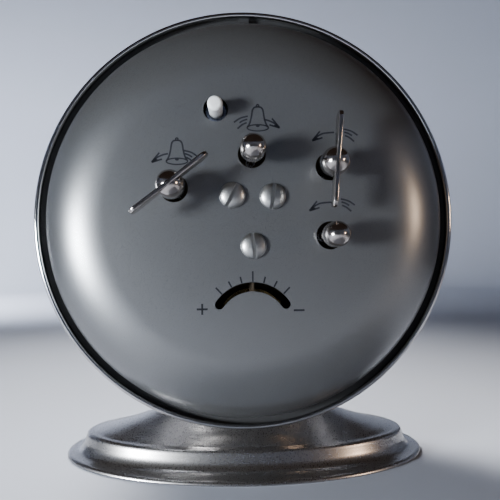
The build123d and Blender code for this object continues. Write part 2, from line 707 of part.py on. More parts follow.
ESCAPE_PHASE = in_mesh(FOURTH_TEETH, 0, FOURTH_AT, ESCAPE_PINION, ESCAPE_AT)
ESCAPE_Y = (4.0, 4.7)
with BuildPart() as escape_wheel:
    arbor(ESCAPE_AT)
    pinion_y = (FOURTH_Y[0] - PINION_OVER, FOURTH_Y[1] + PINION_OVER)
    gear(ESCAPE_AT, ESCAPE_PINION, FOURTH_MODULE, ESCAPE_PHASE, *pinion_y, pinion=True)
    with BuildSketch(rear(ESCAPE_AT, ESCAPE_Y[0])) as teeth:
        Circle(ESCAPE_R - 1.1)
        with PolarLocations(0, ESCAPE_TEETH):
            with BuildLine():
                Polyline(
                    (ESCAPE_R - 1.3, -0.35),
                    (ESCAPE_R, 0.1),
                    (ESCAPE_R, 0.3),
                    (ESCAPE_R - 1.3, 0.3),
                    close=True,
                )
            make_face()
    extrude(teeth.sketch, amount=ESCAPE_Y[1] - ESCAPE_Y[0])
save(escape_wheel.part, "escape_wheel")

LEVER_Y = (2.6, 3.2)
LEVER_W = 1.0
with BuildPart() as pallet_lever:
    rod(LEVER_AT, 0.7, FRONT_PLATE[1] + SHAKE, REAR_PLATE[0] - SHAKE)
    rod(LEVER_AT, PIVOT_R - 0.1, FRONT_PLATE[0] + SHAKE, REAR_PLATE[1] - SHAKE)
    TO_ESCAPE = bearing(LEVER_AT, ESCAPE_AT)
    for side in (-1, 1):
        pin_at = polar(ESCAPE_AT, ESCAPE_R + 0.65, TO_ESCAPE + 180 + side * 40)
        strip(LEVER_AT, pin_at, LEVER_W, *LEVER_Y)
        rod(pin_at, 0.25, LEVER_Y[1] - 0.2, ESCAPE_Y[1] + 0.3)
    strip(LEVER_AT, polar(LEVER_AT, 2.6, bearing(LEVER_AT, BALANCE)), LEVER_W, *LEVER_Y)
save(pallet_lever.part, "pallet_lever")

BALANCE_Y = (17.0, 18.4)
BALANCE_R, BALANCE_RIM = 9.0, 1.4
COCK_Y = (22.6, 23.8)
STAFF_R = 0.8
with BuildPart() as balance:
    rod(BALANCE, STAFF_R, FRONT_PLATE[1] + SHAKE, COCK_Y[0] - 0.2)
    rod(BALANCE, PIVOT_R - 0.1, FRONT_PLATE[0] + SHAKE, COCK_Y[1] - 0.4)
    with BuildSketch(rear(BALANCE, BALANCE_Y[0])) as wheel:
        Circle(BALANCE_R)
        Circle(BALANCE_R - BALANCE_RIM, mode=Mode.SUBTRACT)
        Rectangle(2 * BALANCE_R - 2, BALANCE_RIM)
        Circle(1.8)
    extrude(wheel.sketch, amount=BALANCE_Y[1] - BALANCE_Y[0])
save(balance.part, "balance")

with BuildPart() as hairspring:
    coil(BALANCE, 1.5, 0.8, 10, 0.15, 20.0, 20.6)
save(hairspring.part, "hairspring")

COCK_FOOT = (14.5, -27.0)
with BuildPart() as balance_cock:
    strip(COCK_FOOT, polar(COCK_FOOT, 0.2, 90), 5.0, REAR_PLATE[1], COCK_Y[1])
    strip(COCK_FOOT, BALANCE, 4.6, *COCK_Y)
    rod(BALANCE, PIVOT_R - 0.1 + PLAY, *COCK_Y, mode=Mode.SUBTRACT)
    rod((BALANCE[0] + 5.5, BALANCE[1]), 0.4, 19.8, COCK_Y[0])
save(balance_cock.part, "balance_cock")

REGULATOR_Y = (COCK_Y[1], COCK_Y[1] + 0.6)
POINTER_T = 0.5  # a thin blade that stands in the slot, its edge to the rear
with BuildPart() as regulator:
    with BuildSketch(rear(BALANCE, REGULATOR_Y[0])) as lever:
        Circle(2.4)
        with Locations((0, REGULATOR_R / 2)):
            Rectangle(1.6, REGULATOR_R)
        with Locations((0, REGULATOR_R)):
            Circle(0.8)
        Circle(0.8, mode=Mode.SUBTRACT)
    extrude(lever.sketch, amount=REGULATOR_Y[1] - REGULATOR_Y[0])
    strip(
        polar(BALANCE, REGULATOR_R - 0.8, 90),
        polar(BALANCE, REGULATOR_R + 0.8, 90),
        POINTER_T,
        REGULATOR_Y[1],
        COVER_FLAT - 0.3,
    )
save(regulator.part, "regulator")


# ---------------------------------------------------------------- motion work and hands
CANNON_Y = (-5.6, -4.4)
MINUTE_Y = (-5.4, -4.6)
HOUR_Y = (-6.9, -6.1)
ALARM_Y = (-9.0, -8.2)
CANNON_PIPE_R, HOUR_PIPE_R, ALARM_PIPE_R = 1.7, 2.5, 3.3
MINUTE_HAND_Y = (-16.8, -16.4)
HOUR_HAND_Y = (-15.0, -14.5)
ALARM_HAND_Y = (-13.4, -13.0)

with BuildPart() as cannon_pinion:
    gear(C, CANNON, MOTION_MODULE, 0, *CANNON_Y, bore=ARBOR_R, pinion=True)
    tube(C, CANNON_PIPE_R, ARBOR_R, MINUTE_HAND_Y[1], CANNON_Y[0])
save(cannon_pinion.part, "cannon_pinion")

MINUTE_PHASE = in_mesh(CANNON, 0, C, MINUTE_TEETH, MINUTE_AT)
with BuildPart() as minute_wheel:
    gear(MINUTE_AT, MINUTE_TEETH, MOTION_MODULE, MINUTE_PHASE, *MINUTE_Y, bore=ARBOR_R + PLAY, spokes=5)
    pinion_y = (HOUR_Y[0] - PINION_OVER, MINUTE_Y[0])
    gear(MINUTE_AT, MINUTE_PINION, HOUR_MODULE, 0, *pinion_y, bore=ARBOR_R + PLAY, pinion=True)
save(minute_wheel.part, "minute_wheel")

with BuildPart() as minute_stud:
    rod(MINUTE_AT, ARBOR_R, HOUR_Y[0] - 0.7, FRONT_PLATE[0])
save(minute_stud.part, "minute_stud")

HOUR_PHASE = in_mesh(MINUTE_PINION, 0, MINUTE_AT, HOUR_TEETH, C)
with BuildPart() as hour_wheel:
    gear(C, HOUR_TEETH, HOUR_MODULE, HOUR_PHASE, *HOUR_Y, bore=CANNON_PIPE_R + PLAY, spokes=5)
    tube(C, HOUR_PIPE_R, CANNON_PIPE_R + PLAY, HOUR_HAND_Y[1], HOUR_Y[1])
save(hour_wheel.part, "hour_wheel")

with BuildPart() as alarm_wheel:
    gear(C, ALARM_TEETH, MOTION_MODULE, 0, *ALARM_Y, bore=HOUR_PIPE_R + PLAY, spokes=5)
    tube(C, ALARM_PIPE_R, HOUR_PIPE_R + PLAY, ALARM_HAND_Y[1], ALARM_Y[1])
save(alarm_wheel.part, "alarm_wheel")


def hand(length, tail, width, bore, start, end, angle):
    """A tapered hand on a round boss, with a short tail, pointing at an angle in degrees."""
    with BuildPart() as made:
        with BuildSketch(rear(C, start)) as outline:
            with BuildLine(Plane(origin=(0, 0, 0), x_dir=(cos(radians(angle)), sin(radians(angle)), 0))):
                Polyline(
                    (-tail, -width * 0.4),
                    (length * 0.7, -width / 2),
                    (length, -0.2),
                    (length, 0.2),
                    (length * 0.7, width / 2),
                    (-tail, width * 0.4),
                    close=True,
                )
            make_face()
            Circle(bore + 1.5)
            Circle(bore, mode=Mode.SUBTRACT)
        extrude(outline.sketch, amount=end - start)
    return made.part


MINUTE_SHOWN, HOUR_SHOWN, ALARM_SHOWN = 90 + 50, 90 - 55, 90 - 140  # as seen from behind, in degrees
save(hand(41.0, 9.0, 2.6, ARBOR_R, *MINUTE_HAND_Y, MINUTE_SHOWN), "minute_hand")
save(hand(28.0, 7.0, 3.4, CANNON_PIPE_R + PLAY, *HOUR_HAND_Y, HOUR_SHOWN), "hour_hand")
save(hand(19.0, 5.0, 1.6, HOUR_PIPE_R + PLAY, *ALARM_HAND_Y, ALARM_SHOWN), "alarm_hand")

TIME_SET_PHASE = in_mesh(MINUTE_TEETH, MINUTE_PHASE, MINUTE_AT, TIME_SET_PINION, TIME_SET)
with BuildPart() as time_set_arbor:
    rod(TIME_SET, BEARING_R, FRONT_PLATE[0] - 0.3, ARBOR_END)
    rod(TIME_SET, KNOB_BORE_R, ARBOR_END, COVER_FLAT + KNOB_GRIP)
    pinion_y = (CANNON_Y[0], MINUTE_Y[1] + 0.3)
    gear(TIME_SET, TIME_SET_PINION, MOTION_MODULE, TIME_SET_PHASE, *pinion_y, pinion=True)
save(time_set_arbor.part, "time_set_arbor")

ALARM_SET_PHASE = in_mesh(ALARM_TEETH, 0, C, ALARM_SET_PINION, ALARM_SET)
with BuildPart() as alarm_set_arbor:
    pinion_y = (ALARM_Y[0] - 0.3, ALARM_Y[1] + 0.3)
    rod(ALARM_SET, BEARING_R, pinion_y[0], ARBOR_END)
    rod(ALARM_SET, KNOB_BORE_R, ARBOR_END, COVER_FLAT + KNOB_GRIP)
    gear(ALARM_SET, ALARM_SET_PINION, MOTION_MODULE, ALARM_SET_PHASE, *pinion_y, pinion=True)
save(alarm_set_arbor.part, "alarm_set_arbor")


# ---------------------------------------------------------------- alarm train
ALARM_RATCHET_Y = (-1.0, 0.7)
with BuildPart() as alarm_arbor:
    rod(ALARM_KEY, BEARING_R, FRONT_PLATE[0] - 0.4, ARBOR_END)
    rod(ALARM_KEY, KEY_BORE_R, ARBOR_END, COVER_FLAT + KEY_GRIP)
    rod(ALARM_KEY, 2.2, ALARM_RATCHET_Y[1], REAR_PLATE[0] - SHAKE)
    saw(ALARM_KEY, 14, 3.6, 4.6, *ALARM_RATCHET_Y)
save(alarm_arbor.part, "alarm_winding_arbor")

with BuildPart() as alarm_great_wheel:
    gear(ALARM_KEY, ALARM_GREAT, MOTION_MODULE, 0, *GREAT_Y, bore=BEARING_R + PLAY, spokes=5)
save(alarm_great_wheel.part, "alarm_great_wheel")

with BuildPart() as alarm_click:
    ALARM_CLICK_AT = polar(ALARM_KEY, 8.0, 60)
    rod(ALARM_CLICK_AT, 1.0, GREAT_Y[1], 0.3)
    strip(ALARM_CLICK_AT, polar(ALARM_KEY, 5.6, 30), 1.2, -0.9, -0.1)
save(alarm_click.part, "alarm_click")

with BuildPart() as alarm_mainspring:
    coil(ALARM_KEY, 2.7, 1.3, 10, 0.3, 1.2, 7.4)
save(alarm_mainspring.part, "alarm_mainspring")

STAR_PHASE = in_mesh(ALARM_GREAT, 0, ALARM_KEY, STAR_PINION, STAR_AT)
STAR_Y = (11.4, 12.2)
with BuildPart() as star_wheel:
    arbor(STAR_AT)
    gear(STAR_AT, STAR_PINION, MOTION_MODULE, STAR_PHASE, GREAT_Y[0] - 0.2, GREAT_Y[1] + 0.2, pinion=True)
    with BuildSketch(rear(STAR_AT, STAR_Y[0])) as star:
        Circle(STAR_R - 1.4)
        with PolarLocations(0, STAR_TEETH):
            with BuildLine():
                Polyline(
                    (STAR_R - 1.6, -0.7),
                    (STAR_R, -0.15),
                    (STAR_R, 0.15),
                    (STAR_R - 1.6, 0.7),
                    close=True,
                )
            make_face()
    extrude(star.sketch, amount=STAR_Y[1] - STAR_Y[0])
save(star_wheel.part, "star_wheel")

ARM_Y = (17.6, 18.6)
HAMMER_HEAD_R, HAMMER_HEAD_Y = 2.6, (18.0, 21.6)
with BuildPart() as hammer:
    rod(HAMMER_AT, PIVOT_R + 0.4, FRONT_PLATE[1] + SHAKE, ARM_Y[1])
    rod(HAMMER_AT, PIVOT_R, FRONT_PLATE[0] + SHAKE, FRONT_PLATE[1] + SHAKE)
    strip(HAMMER_AT, HAMMER_HEAD_AT, 1.8, *ARM_Y)
    rod(HAMMER_HEAD_AT, HAMMER_HEAD_R, *HAMMER_HEAD_Y)
    strip(HAMMER_AT, polar(HAMMER_AT, 0.9, bearing(HAMMER_AT, STAR_AT)), 1.2, *STAR_Y)
save(hammer.part, "hammer")

PLUNGER_R, PLUNGER_START, COLLAR_R = 1.4, 12.0, 2.6
COLLAR_Y = (25.4, 26.2)
BUTTON_R, BUTTON_TOP, BUTTON_GRIP = 1.85, 6.0, 1.4
with BuildPart() as stop_plunger:
    rod(BUTTON, PLUNGER_R, PLUNGER_START, COLLAR_Y[1] + BUTTON_GRIP)
    rod(BUTTON, COLLAR_R, *COLLAR_Y)
save(stop_plunger.part, "stop_plunger")

with BuildPart() as stop_button:
    rod(BUTTON, BUTTON_R, COLLAR_Y[1], COVER_FLAT + BUTTON_TOP)
    fillet(stop_button.edges().group_by(Axis.Y)[-1], 0.6)
    rod(BUTTON, PLUNGER_R, COLLAR_Y[1], COLLAR_Y[1] + BUTTON_GRIP, mode=Mode.SUBTRACT)
save(stop_button.part, "stop_button")

SPRING_WIRE_R, SPRING_R, SPRING_PITCH = 0.25, 1.95, 1.6
SPRING_START, SPRING_END = REAR_PLATE[1] + 0.3, COLLAR_Y[0] - 0.3
with BuildPart() as plunger_spring:
    with BuildLine() as path:
        Helix(
            pitch=SPRING_PITCH,
            height=SPRING_END - SPRING_START,
            radius=SPRING_R,
            center=(-BUTTON[0], SPRING_START + Y_SHIFT, AXIS_Z + BUTTON[1]),
            direction=(0, 1, 0),
        )
    with BuildSketch(Plane(origin=path.line @ 0, z_dir=path.line % 0)):
        Circle(SPRING_WIRE_R)
    sweep()
save(plunger_spring.part, "plunger_spring")
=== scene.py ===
"""The looks of a wind-up table alarm clock.

They are its plated case and foot, the grey back cover with its keys, knobs and printed signs, the dial
side, and the brass movement inside.
"""

import json
import logging
import math
from dataclasses import dataclass, field
from enum import Enum
from typing import Iterable, Sequence

import bmesh
import bpy
from mathutils import Matrix, Vector

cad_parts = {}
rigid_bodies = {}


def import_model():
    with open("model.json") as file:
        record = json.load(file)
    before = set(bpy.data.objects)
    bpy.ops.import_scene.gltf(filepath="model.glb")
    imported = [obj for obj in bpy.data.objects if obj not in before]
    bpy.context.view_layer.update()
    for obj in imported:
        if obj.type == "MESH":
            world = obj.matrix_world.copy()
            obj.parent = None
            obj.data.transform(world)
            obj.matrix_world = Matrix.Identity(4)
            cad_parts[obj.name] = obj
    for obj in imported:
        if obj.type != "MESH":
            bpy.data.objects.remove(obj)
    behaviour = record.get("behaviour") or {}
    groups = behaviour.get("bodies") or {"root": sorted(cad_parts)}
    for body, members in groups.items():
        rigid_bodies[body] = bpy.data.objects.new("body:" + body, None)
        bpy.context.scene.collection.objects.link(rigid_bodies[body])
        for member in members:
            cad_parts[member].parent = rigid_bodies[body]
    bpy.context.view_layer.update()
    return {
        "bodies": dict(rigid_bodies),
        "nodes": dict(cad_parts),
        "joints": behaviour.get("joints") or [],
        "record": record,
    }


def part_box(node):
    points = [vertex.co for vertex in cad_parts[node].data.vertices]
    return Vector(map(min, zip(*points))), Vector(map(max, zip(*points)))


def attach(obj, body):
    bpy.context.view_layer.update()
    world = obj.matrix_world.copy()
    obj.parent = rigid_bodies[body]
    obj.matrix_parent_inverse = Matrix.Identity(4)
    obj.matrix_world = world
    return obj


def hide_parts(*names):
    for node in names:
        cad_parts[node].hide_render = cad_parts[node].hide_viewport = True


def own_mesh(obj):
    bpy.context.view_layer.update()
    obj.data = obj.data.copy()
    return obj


LOG = logging.getLogger("clock")
MM = 0.001

Point2 = tuple[float, float]
Oval = tuple[float, float, float]
Colour = tuple[float, float, float]


# ---------------------------------------------------------------- finishes
COAT_ROUGHNESS = 0.12
CLOUD_DETAIL, MARK_DETAIL, SMEAR_DETAIL = 3.0, 6.0, 4.0  # how many finer layers each noise has
NOISE_LOW, NOISE_HIGH = 0.3, 0.7  # nearly all of a noise lies between these
SMOOTHEST = 0.02
BUMP_DEPTH = 0.05  # of the fine marks at full relief, in millimetres


def add_noise(nodes: bpy.types.Nodes, size: float, detail: float) -> bpy.types.Node:
    """Adds a noise texture.

    Args:
        nodes: the nodes of the material.
        size: the size of a blot, in millimetres.
        detail: how many finer layers it has.

    Returns:
        The noise node.
    """
    noise = nodes.new("ShaderNodeTexNoise")
    noise.inputs["Scale"].default_value = 1.0 / (size * MM)
    noise.inputs["Detail"].default_value = detail
    return noise


def add_range(nodes: bpy.types.Nodes, low: float, high: float, least: float, most: float) -> bpy.types.Node:
    """Adds a node that stretches one range of values to another.

    Args:
        nodes: the nodes of the material.
        low: the lower end of what comes in.
        high: the upper end of what comes in.
        least: what the lower end becomes.
        most: what the upper end becomes.

    Returns:
        The node, with its Value input free.
    """
    spread = nodes.new("ShaderNodeMapRange")
    for name, value in (("From Min", low), ("From Max", high), ("To Min", least), ("To Max", most)):
        spread.inputs[name].default_value = value
    return spread


class Grain(Enum):
    """How the fine marks of a finish run."""

    CLOUD = (1.0, 1.0, 1.0)
    ACROSS = (0.04, 1.0, 1.0)
    DEEP = (1.0, 0.04, 1.0)


@dataclass(frozen=True)
class Finish:
    """One surface finish, made as a procedural material.

    Args:
        name: the material's name.
        colour: the main colour.
        second: the colour that the cloudy variation leans to.
        metallic: 1 for bare metal.
        roughness: the middle of the roughness.
        uneven: how far the roughness wanders from the middle.
        grain: the direction of the fine marks.
        grain_size: the size of the fine marks, in millimetres.
        cloud_size: the size of the cloudy variation, in millimetres.
        relief: the depth of the bump that the fine marks make, as a share of the full depth.
        coat: the weight of a clear coat.
        level: the strength of the reflection of what isn't metal.
    """

    name: str
    colour: Colour
    second: Colour
    metallic: float = 0.0
    roughness: float = 0.4
    uneven: float = 0.05
    grain: Grain = Grain.CLOUD
    grain_size: float = 0.5
    cloud_size: float = 18.0
    relief: float = 0.02
    coat: float = 0.0
    level: float = 0.5

    def material(self) -> bpy.types.Material:
        """Builds the material, or returns the one already built.

        Returns:
            The material of this finish.
        """
        made = bpy.data.materials.get(self.name)
        if made:
            return made
        made = bpy.data.materials.new(self.name)
        made.use_nodes = True
        nodes, links = made.node_tree.nodes, made.node_tree.links
        shader = nodes["Principled BSDF"]
        shader.inputs["Metallic"].default_value = self.metallic
        shader.inputs["Coat Weight"].default_value = self.coat
        shader.inputs["Coat Roughness"].default_value = COAT_ROUGHNESS
        shader.inputs["Specular IOR Level"].default_value = self.level
        place = nodes.new("ShaderNodeTexCoord")
        turn = nodes.new("ShaderNodeMapping")
        turn.inputs["Scale"].default_value = self.grain.value
        links.new(place.outputs["Object"], turn.inputs["Vector"])

        clouds = add_noise(nodes, self.cloud_size, CLOUD_DETAIL)
        links.new(place.outputs["Object"], clouds.inputs["Vector"])
        mix = nodes.new("ShaderNodeMix")
        mix.data_type = "RGBA"
        mix.inputs[6].default_value = (*self.colour, 1.0)
        mix.inputs[7].default_value = (*self.second, 1.0)
        links.new(clouds.outputs["Fac"], mix.inputs[0])
        links.new(mix.outputs[2], shader.inputs["Base Color"])

        marks = add_noise(nodes, self.grain_size, MARK_DETAIL)
        links.new(turn.outputs["Vector"], marks.inputs["Vector"])
        least, most = max(SMOOTHEST, self.roughness - self.uneven), self.roughness + self.uneven
        spread = add_range(nodes, NOISE_LOW, NOISE_HIGH, least, most)
        links.new(marks.outputs["Fac"], spread.inputs["Value"])
        links.new(spread.outputs["Result"], shader.inputs["Roughness"])
        if self.relief:
            bump = nodes.new("ShaderNodeBump")
            bump.inputs["Strength"].default_value = self.relief
            bump.inputs["Distance"].default_value = BUMP_DEPTH * MM
            links.new(marks.outputs["Fac"], bump.inputs["Height"])
            links.new(bump.outputs["Normal"], shader.inputs["Normal"])
        return made


@dataclass(frozen=True)
class ClearGlass:
    """Plain window glass with faint smears, for the dial's front.

    Args:
        name: the material's name.
        tint: its colour.
        bend: its index of refraction.
        smear_size: the size of the smears, in millimetres.
        smear_start: the part of the noise, from 0 to 1, that stays clean.
        smear_rough: the roughness of the heaviest smear.
    """

    name: str = "clear_glass"
    tint: Colour = (0.96, 0.98, 0.98)
    bend: float = 1.45
    smear_size: float = 9.0
    smear_start: float = 0.45
    smear_rough: float = 0.06

    def material(self) -> bpy.types.Material:
        """Builds the material, or returns the one already built.

        Returns:
            The material of the glass.
        """
        made = bpy.data.materials.get(self.name)
        if made:
            return made
        made = bpy.data.materials.new(self.name)
        made.use_nodes = True
        nodes, links = made.node_tree.nodes, made.node_tree.links
        shader = nodes["Principled BSDF"]
        shader.inputs["Base Color"].default_value = (*self.tint, 1.0)
        shader.inputs["IOR"].default_value = self.bend
        shader.inputs["Transmission Weight"].default_value = 1.0
        place = nodes.new("ShaderNodeTexCoord")
        smears = add_noise(nodes, self.smear_size, SMEAR_DETAIL)
        links.new(place.outputs["Object"], smears.inputs["Vector"])
        spread = add_range(nodes, self.smear_start, 1.0, 0.0, self.smear_rough)
        links.new(smears.outputs["Fac"], spread.inputs["Value"])
        links.new(spread.outputs["Result"], shader.inputs["Roughness"])
        return made


CHROME = Finish(
    "mirror_plate", (0.50, 0.49, 0.49), (0.58, 0.57, 0.56),
    metallic=1.0, roughness=0.09, uneven=0.03, grain_size=0.7, cloud_size=22.0, relief=0.012,
)
NICKEL = Finish(
    "polished_nickel", (0.40, 0.365, 0.34), (0.48, 0.44, 0.41),
    metallic=1.0, roughness=0.13, uneven=0.04, grain=Grain.DEEP, grain_size=0.35, cloud_size=5.0,
)
DULL_NICKEL = Finish(
    "dull_nickel", (0.36, 0.36, 0.35), (0.42, 0.415, 0.40),
    metallic=1.0, roughness=0.33, uneven=0.06, grain_size=0.2, cloud_size=2.0,
)
FOOT_STEEL = Finish(
    "plated_steel", (0.39, 0.375, 0.365), (0.43, 0.415, 0.405),
    metallic=1.0, roughness=0.28, uneven=0.015, grain_size=0.35, cloud_size=25.0, relief=0.0,
)
COVER_PAINT = Finish(
    "silver_grey_paint", (0.165, 0.168, 0.172), (0.19, 0.193, 0.197),
    metallic=0.82, roughness=0.31, grain_size=0.09, cloud_size=30.0, relief=0.09,
)
# painted shade: near-black for the dust plate, standing in for the shade in the gap round the back cover
BLACK_AS_PAINTED_SHADE = Finish(
    "black_as_painted_shade", (0.012, 0.012, 0.013), (0.02, 0.02, 0.021),
    roughness=0.5, uneven=0.08, grain_size=0.3, cloud_size=10.0, relief=0.05,
)
INK = Finish(
    "print_ink", (0.008, 0.009, 0.013), (0.014, 0.015, 0.02),
    roughness=0.6, uneven=0.06, grain_size=0.1, cloud_size=2.0, relief=0.03, level=0.15,
)
WHITE_PLASTIC = Finish(
    "white_plastic", (0.72, 0.73, 0.72), (0.66, 0.67, 0.66),
    roughness=0.32, uneven=0.07, grain_size=0.3, cloud_size=3.0, relief=0.04, coat=0.15,
)
DIAL_PAINT = Finish(
    "dial_enamel", (0.80, 0.79, 0.74), (0.76, 0.75, 0.69), roughness=0.42, grain_size=0.2, cloud_size=25.0
)
DIAL_INK = Finish("dial_ink", (0.010, 0.010, 0.012), (0.02, 0.02, 0.022), grain_size=0.2, cloud_size=5.0)
HAND_BLACK = Finish(
    "hand_lacquer", (0.008, 0.008, 0.009), (0.014, 0.014, 0.015),
    roughness=0.25, grain_size=0.3, cloud_size=6.0, coat=0.4,
)
HAND_RED = Finish(
    "red_lacquer", (0.50, 0.035, 0.02), (0.42, 0.03, 0.02),
    roughness=0.28, grain_size=0.3, cloud_size=6.0, coat=0.4,
)
GLOW_PAINT = Finish(
    "pale_green_glow", (0.62, 0.70, 0.50), (0.55, 0.64, 0.44),
    roughness=0.6, grain_size=0.15, cloud_size=2.0, relief=0.1,
)
SURROUND_PAINT = Finish(
    "surround_lacquer", (0.60, 0.59, 0.55), (0.54, 0.53, 0.50),
    roughness=0.38, grain_size=0.3, cloud_size=15.0,
)
BRASS = Finish(
    "brushed_brass", (0.66, 0.47, 0.18), (0.56, 0.39, 0.15),
    metallic=1.0, roughness=0.30, uneven=0.08,
    grain=Grain.ACROSS, grain_size=0.25, cloud_size=8.0, relief=0.05,
)
BRASS_WHEEL = Finish(
    "wheel_brass", (0.72, 0.53, 0.22), (0.62, 0.44, 0.17),
    metallic=1.0, roughness=0.24, uneven=0.07, grain_size=0.2, cloud_size=3.0, relief=0.04,
)
# painted shade: brass darkened nearly to black, for the dim inside seen through the regulator slot
BRASS_DARKENED_AS_SHADE = Finish(
    "brass_darkened_as_painted_shade", (0.075, 0.055, 0.03), (0.045, 0.035, 0.024),
    metallic=0.7, roughness=0.5, uneven=0.1, grain=Grain.ACROSS, grain_size=0.3, cloud_size=6.0, relief=0.06,
)
STEEL = Finish(
    "turned_steel", (0.46, 0.46, 0.47), (0.38, 0.38, 0.39),
    metallic=1.0, roughness=0.24, uneven=0.07, grain=Grain.DEEP, grain_size=0.2, cloud_size=4.0, relief=0.04,
)
# blued steel for the springs, and painted shade on the stop plunger and the button's coil, dark for the
# shade in the button's hole
BLUED_STEEL_AND_SHADE = Finish(
    "blued_steel_and_painted_shade", (0.16, 0.19, 0.27), (0.22, 0.23, 0.27),
    metallic=1.0, roughness=0.26, uneven=0.06, grain_size=0.3, cloud_size=5.0, relief=0.03,
)
ZINC = Finish(
    "zinc_plate", (0.52, 0.53, 0.54), (0.42, 0.43, 0.44),
    metallic=1.0, roughness=0.34, uneven=0.08, grain_size=0.35, cloud_size=3.0, relief=0.06,
)


# ---------------------------------------------------------------- frames of reference
REARWARDS = Matrix(((-1, 0, 0), (0, 0, 1), (0, 1, 0))).to_4x4()  # u, w, h as seen from behind
UPRIGHT = Matrix(((1, 0, 0), (0, 0, -1), (0, 1, 0))).to_4x4()  # x to the right and y up, seen from -y
BEAD_PROUD = 0.1  # how far the rear bead stands out from the drum's sheet, in millimetres


def spun(degrees: float) -> Matrix:
    """A turn about the third axis."""
    return Matrix.Rotation(math.radians(degrees), 4, "Z")


def middle(node: str) -> Vector:
    """The middle of a node's box, in metres."""
    low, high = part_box(node)
    return (low + high) / 2


def half_width(node: str) -> float:
    """Half the width of a node's box, in millimetres."""
    low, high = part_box(node)
    return (high.x - low.x) / 2 / MM


@dataclass
class Bench:
    """Where the clock stands, taken from the frame.

    Places are (u, w, h) in millimetres as seen from behind: u to the right and w up from a centre, h
    rearwards from the flat of the back cover.
    """

    centre: Vector = field(init=False)
    flat: float = field(init=False)

    def __post_init__(self) -> None:
        """Reads the case axis and the flat of the back cover."""
        low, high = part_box("rear_cover")
        self.centre = (low + high) / 2
        self.flat = high.y

    def rear(self, node: str = "") -> Matrix:
        """The frame of the back, centred on the case axis or on a node.

        Args:
            node: the node to centre on, or nothing for the case axis.

        Returns:
            A matrix that takes millimetres to metres.
        """
        at = middle(node) if node else self.centre
        return Matrix.Translation((at.x, self.flat, at.z)) @ REARWARDS @ Matrix.Scale(MM, 4)

    def front(self, depth: float) -> Matrix:
        """The frame of a face on the dial side, x to the right and y up as read from the front.

        Args:
            depth: the face's place along the depth, in metres.

        Returns:
            A matrix that takes millimetres to metres.
        """
        return Matrix.Translation((self.centre.x, depth, self.centre.z)) @ UPRIGHT @ Matrix.Scale(MM, 4)

    def ends(self, node: str) -> Point2:
        """The heights of a node's front and rear ends over the cover's flat, in millimetres."""
        low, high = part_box(node)
        return (low.y - self.flat) / MM, (high.y - self.flat) / MM

    @staticmethod
    def drum_radius() -> float:
        """The outside radius of the drum's sheet, in millimetres."""
        low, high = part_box("case_drum")
        return (high.z - low.z) / 2 / MM - BEAD_PROUD


# ---------------------------------------------------------------- meshes
FULL_TURN = 360
ON_AXIS = 1e-6  # a smaller radius is a point on the axis
BEVELLED_OVER = 35.0  # edges sharper than this many degrees are rounded
CRISP, TURNED, PRESSED, COILED = 32.0, 40.0, 50.0, 60.0  # edges sharper than this stay crisp, in degrees
CLEAR = 1.0  # how far a cutter goes past what it cuts, in millimetres


def held(name: str, data: bpy.types.ID) -> bpy.types.Object:
    """Puts a mesh, a text, a light or a camera into the scene.

    Args:
        name: the object's name.
        data: what it shows.

    Returns:
        The new object.
    """
    holder = bpy.data.objects.new(name, data)
    bpy.context.scene.collection.objects.link(holder)
    return holder


def evaluated(holder: bpy.types.Object) -> bpy.types.Mesh:
    """The plain mesh that an object comes out as.

    Args:
        holder: the object, with its modifiers.

    Returns:
        A new mesh, with the modifiers worked in.
    """
    bpy.context.view_layer.update()
    return bpy.data.meshes.new_from_object(holder.evaluated_get(bpy.context.evaluated_depsgraph_get()))


def finished(
    name: str, mesh: bpy.types.Mesh, finish: Finish | ClearGlass, body: str, sharp: float = CRISP
) -> bpy.types.Object:
    """Makes a piece of a mesh that is already in place, dresses it, and hangs it on its body.

    Args:
        name: the piece's name.
        mesh: the mesh, in metres.
        finish: the finish of the whole piece.
        body: the body that it moves with.
        sharp: the angle in degrees over which an edge stays crisp.

    Returns:
        The new object.
    """
    mesh.name = name
    mesh.materials.clear()
    mesh.materials.append(finish.material())
    mesh.polygons.foreach_set("use_smooth", [True] * len(mesh.polygons))
    mesh.set_sharp_from_angle(angle=math.radians(sharp))
    piece = held(name, mesh)
    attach(piece, body)
    LOG.info("%s: %d faces on %s", name, len(mesh.polygons), body)
    return piece


def baked(shape: bmesh.types.BMesh, matrix: Matrix) -> bpy.types.Mesh:
    """Turns a shape in local millimetres into a mesh in metres.

    Args:
        shape: the shape, which is freed.
        matrix: the frame that it was drawn in.

    Returns:
        The mesh, in its place.
    """
    bmesh.ops.recalc_face_normals(shape, faces=shape.faces)
    mesh = bpy.data.meshes.new("shape")
    shape.to_mesh(mesh)
    shape.free()
    mesh.transform(matrix)
    return mesh


def oval(
    shape: bmesh.types.BMesh, across: float, along: float, height: float, segments: int
) -> list[bmesh.types.BMVert]:
    """Adds a level ring of corners to a shape.

    Args:
        shape: the shape.
        across: half the ring's width.
        along: half the ring's depth.
        height: where it lies.
        segments: the number of corners.

    Returns:
        The corners, in order.
    """
    angles = [math.tau * step / segments for step in range(segments)]
    return [shape.verts.new((across * math.cos(a), along * math.sin(a), height)) for a in angles]


def skin(shape: bmesh.types.BMesh, rings: Sequence[Sequence[bmesh.types.BMVert]]) -> None:
    """Joins each ring of corners to the next one with faces.

    Args:
        shape: the shape that the corners are in.
        rings: the rings, all with as many corners.
    """
    for ring, following in zip(rings, rings[1:]):
        for step in range(len(ring)):
            after = (step + 1) % len(ring)
            shape.faces.new((ring[step], ring[after], following[after], following[step]))


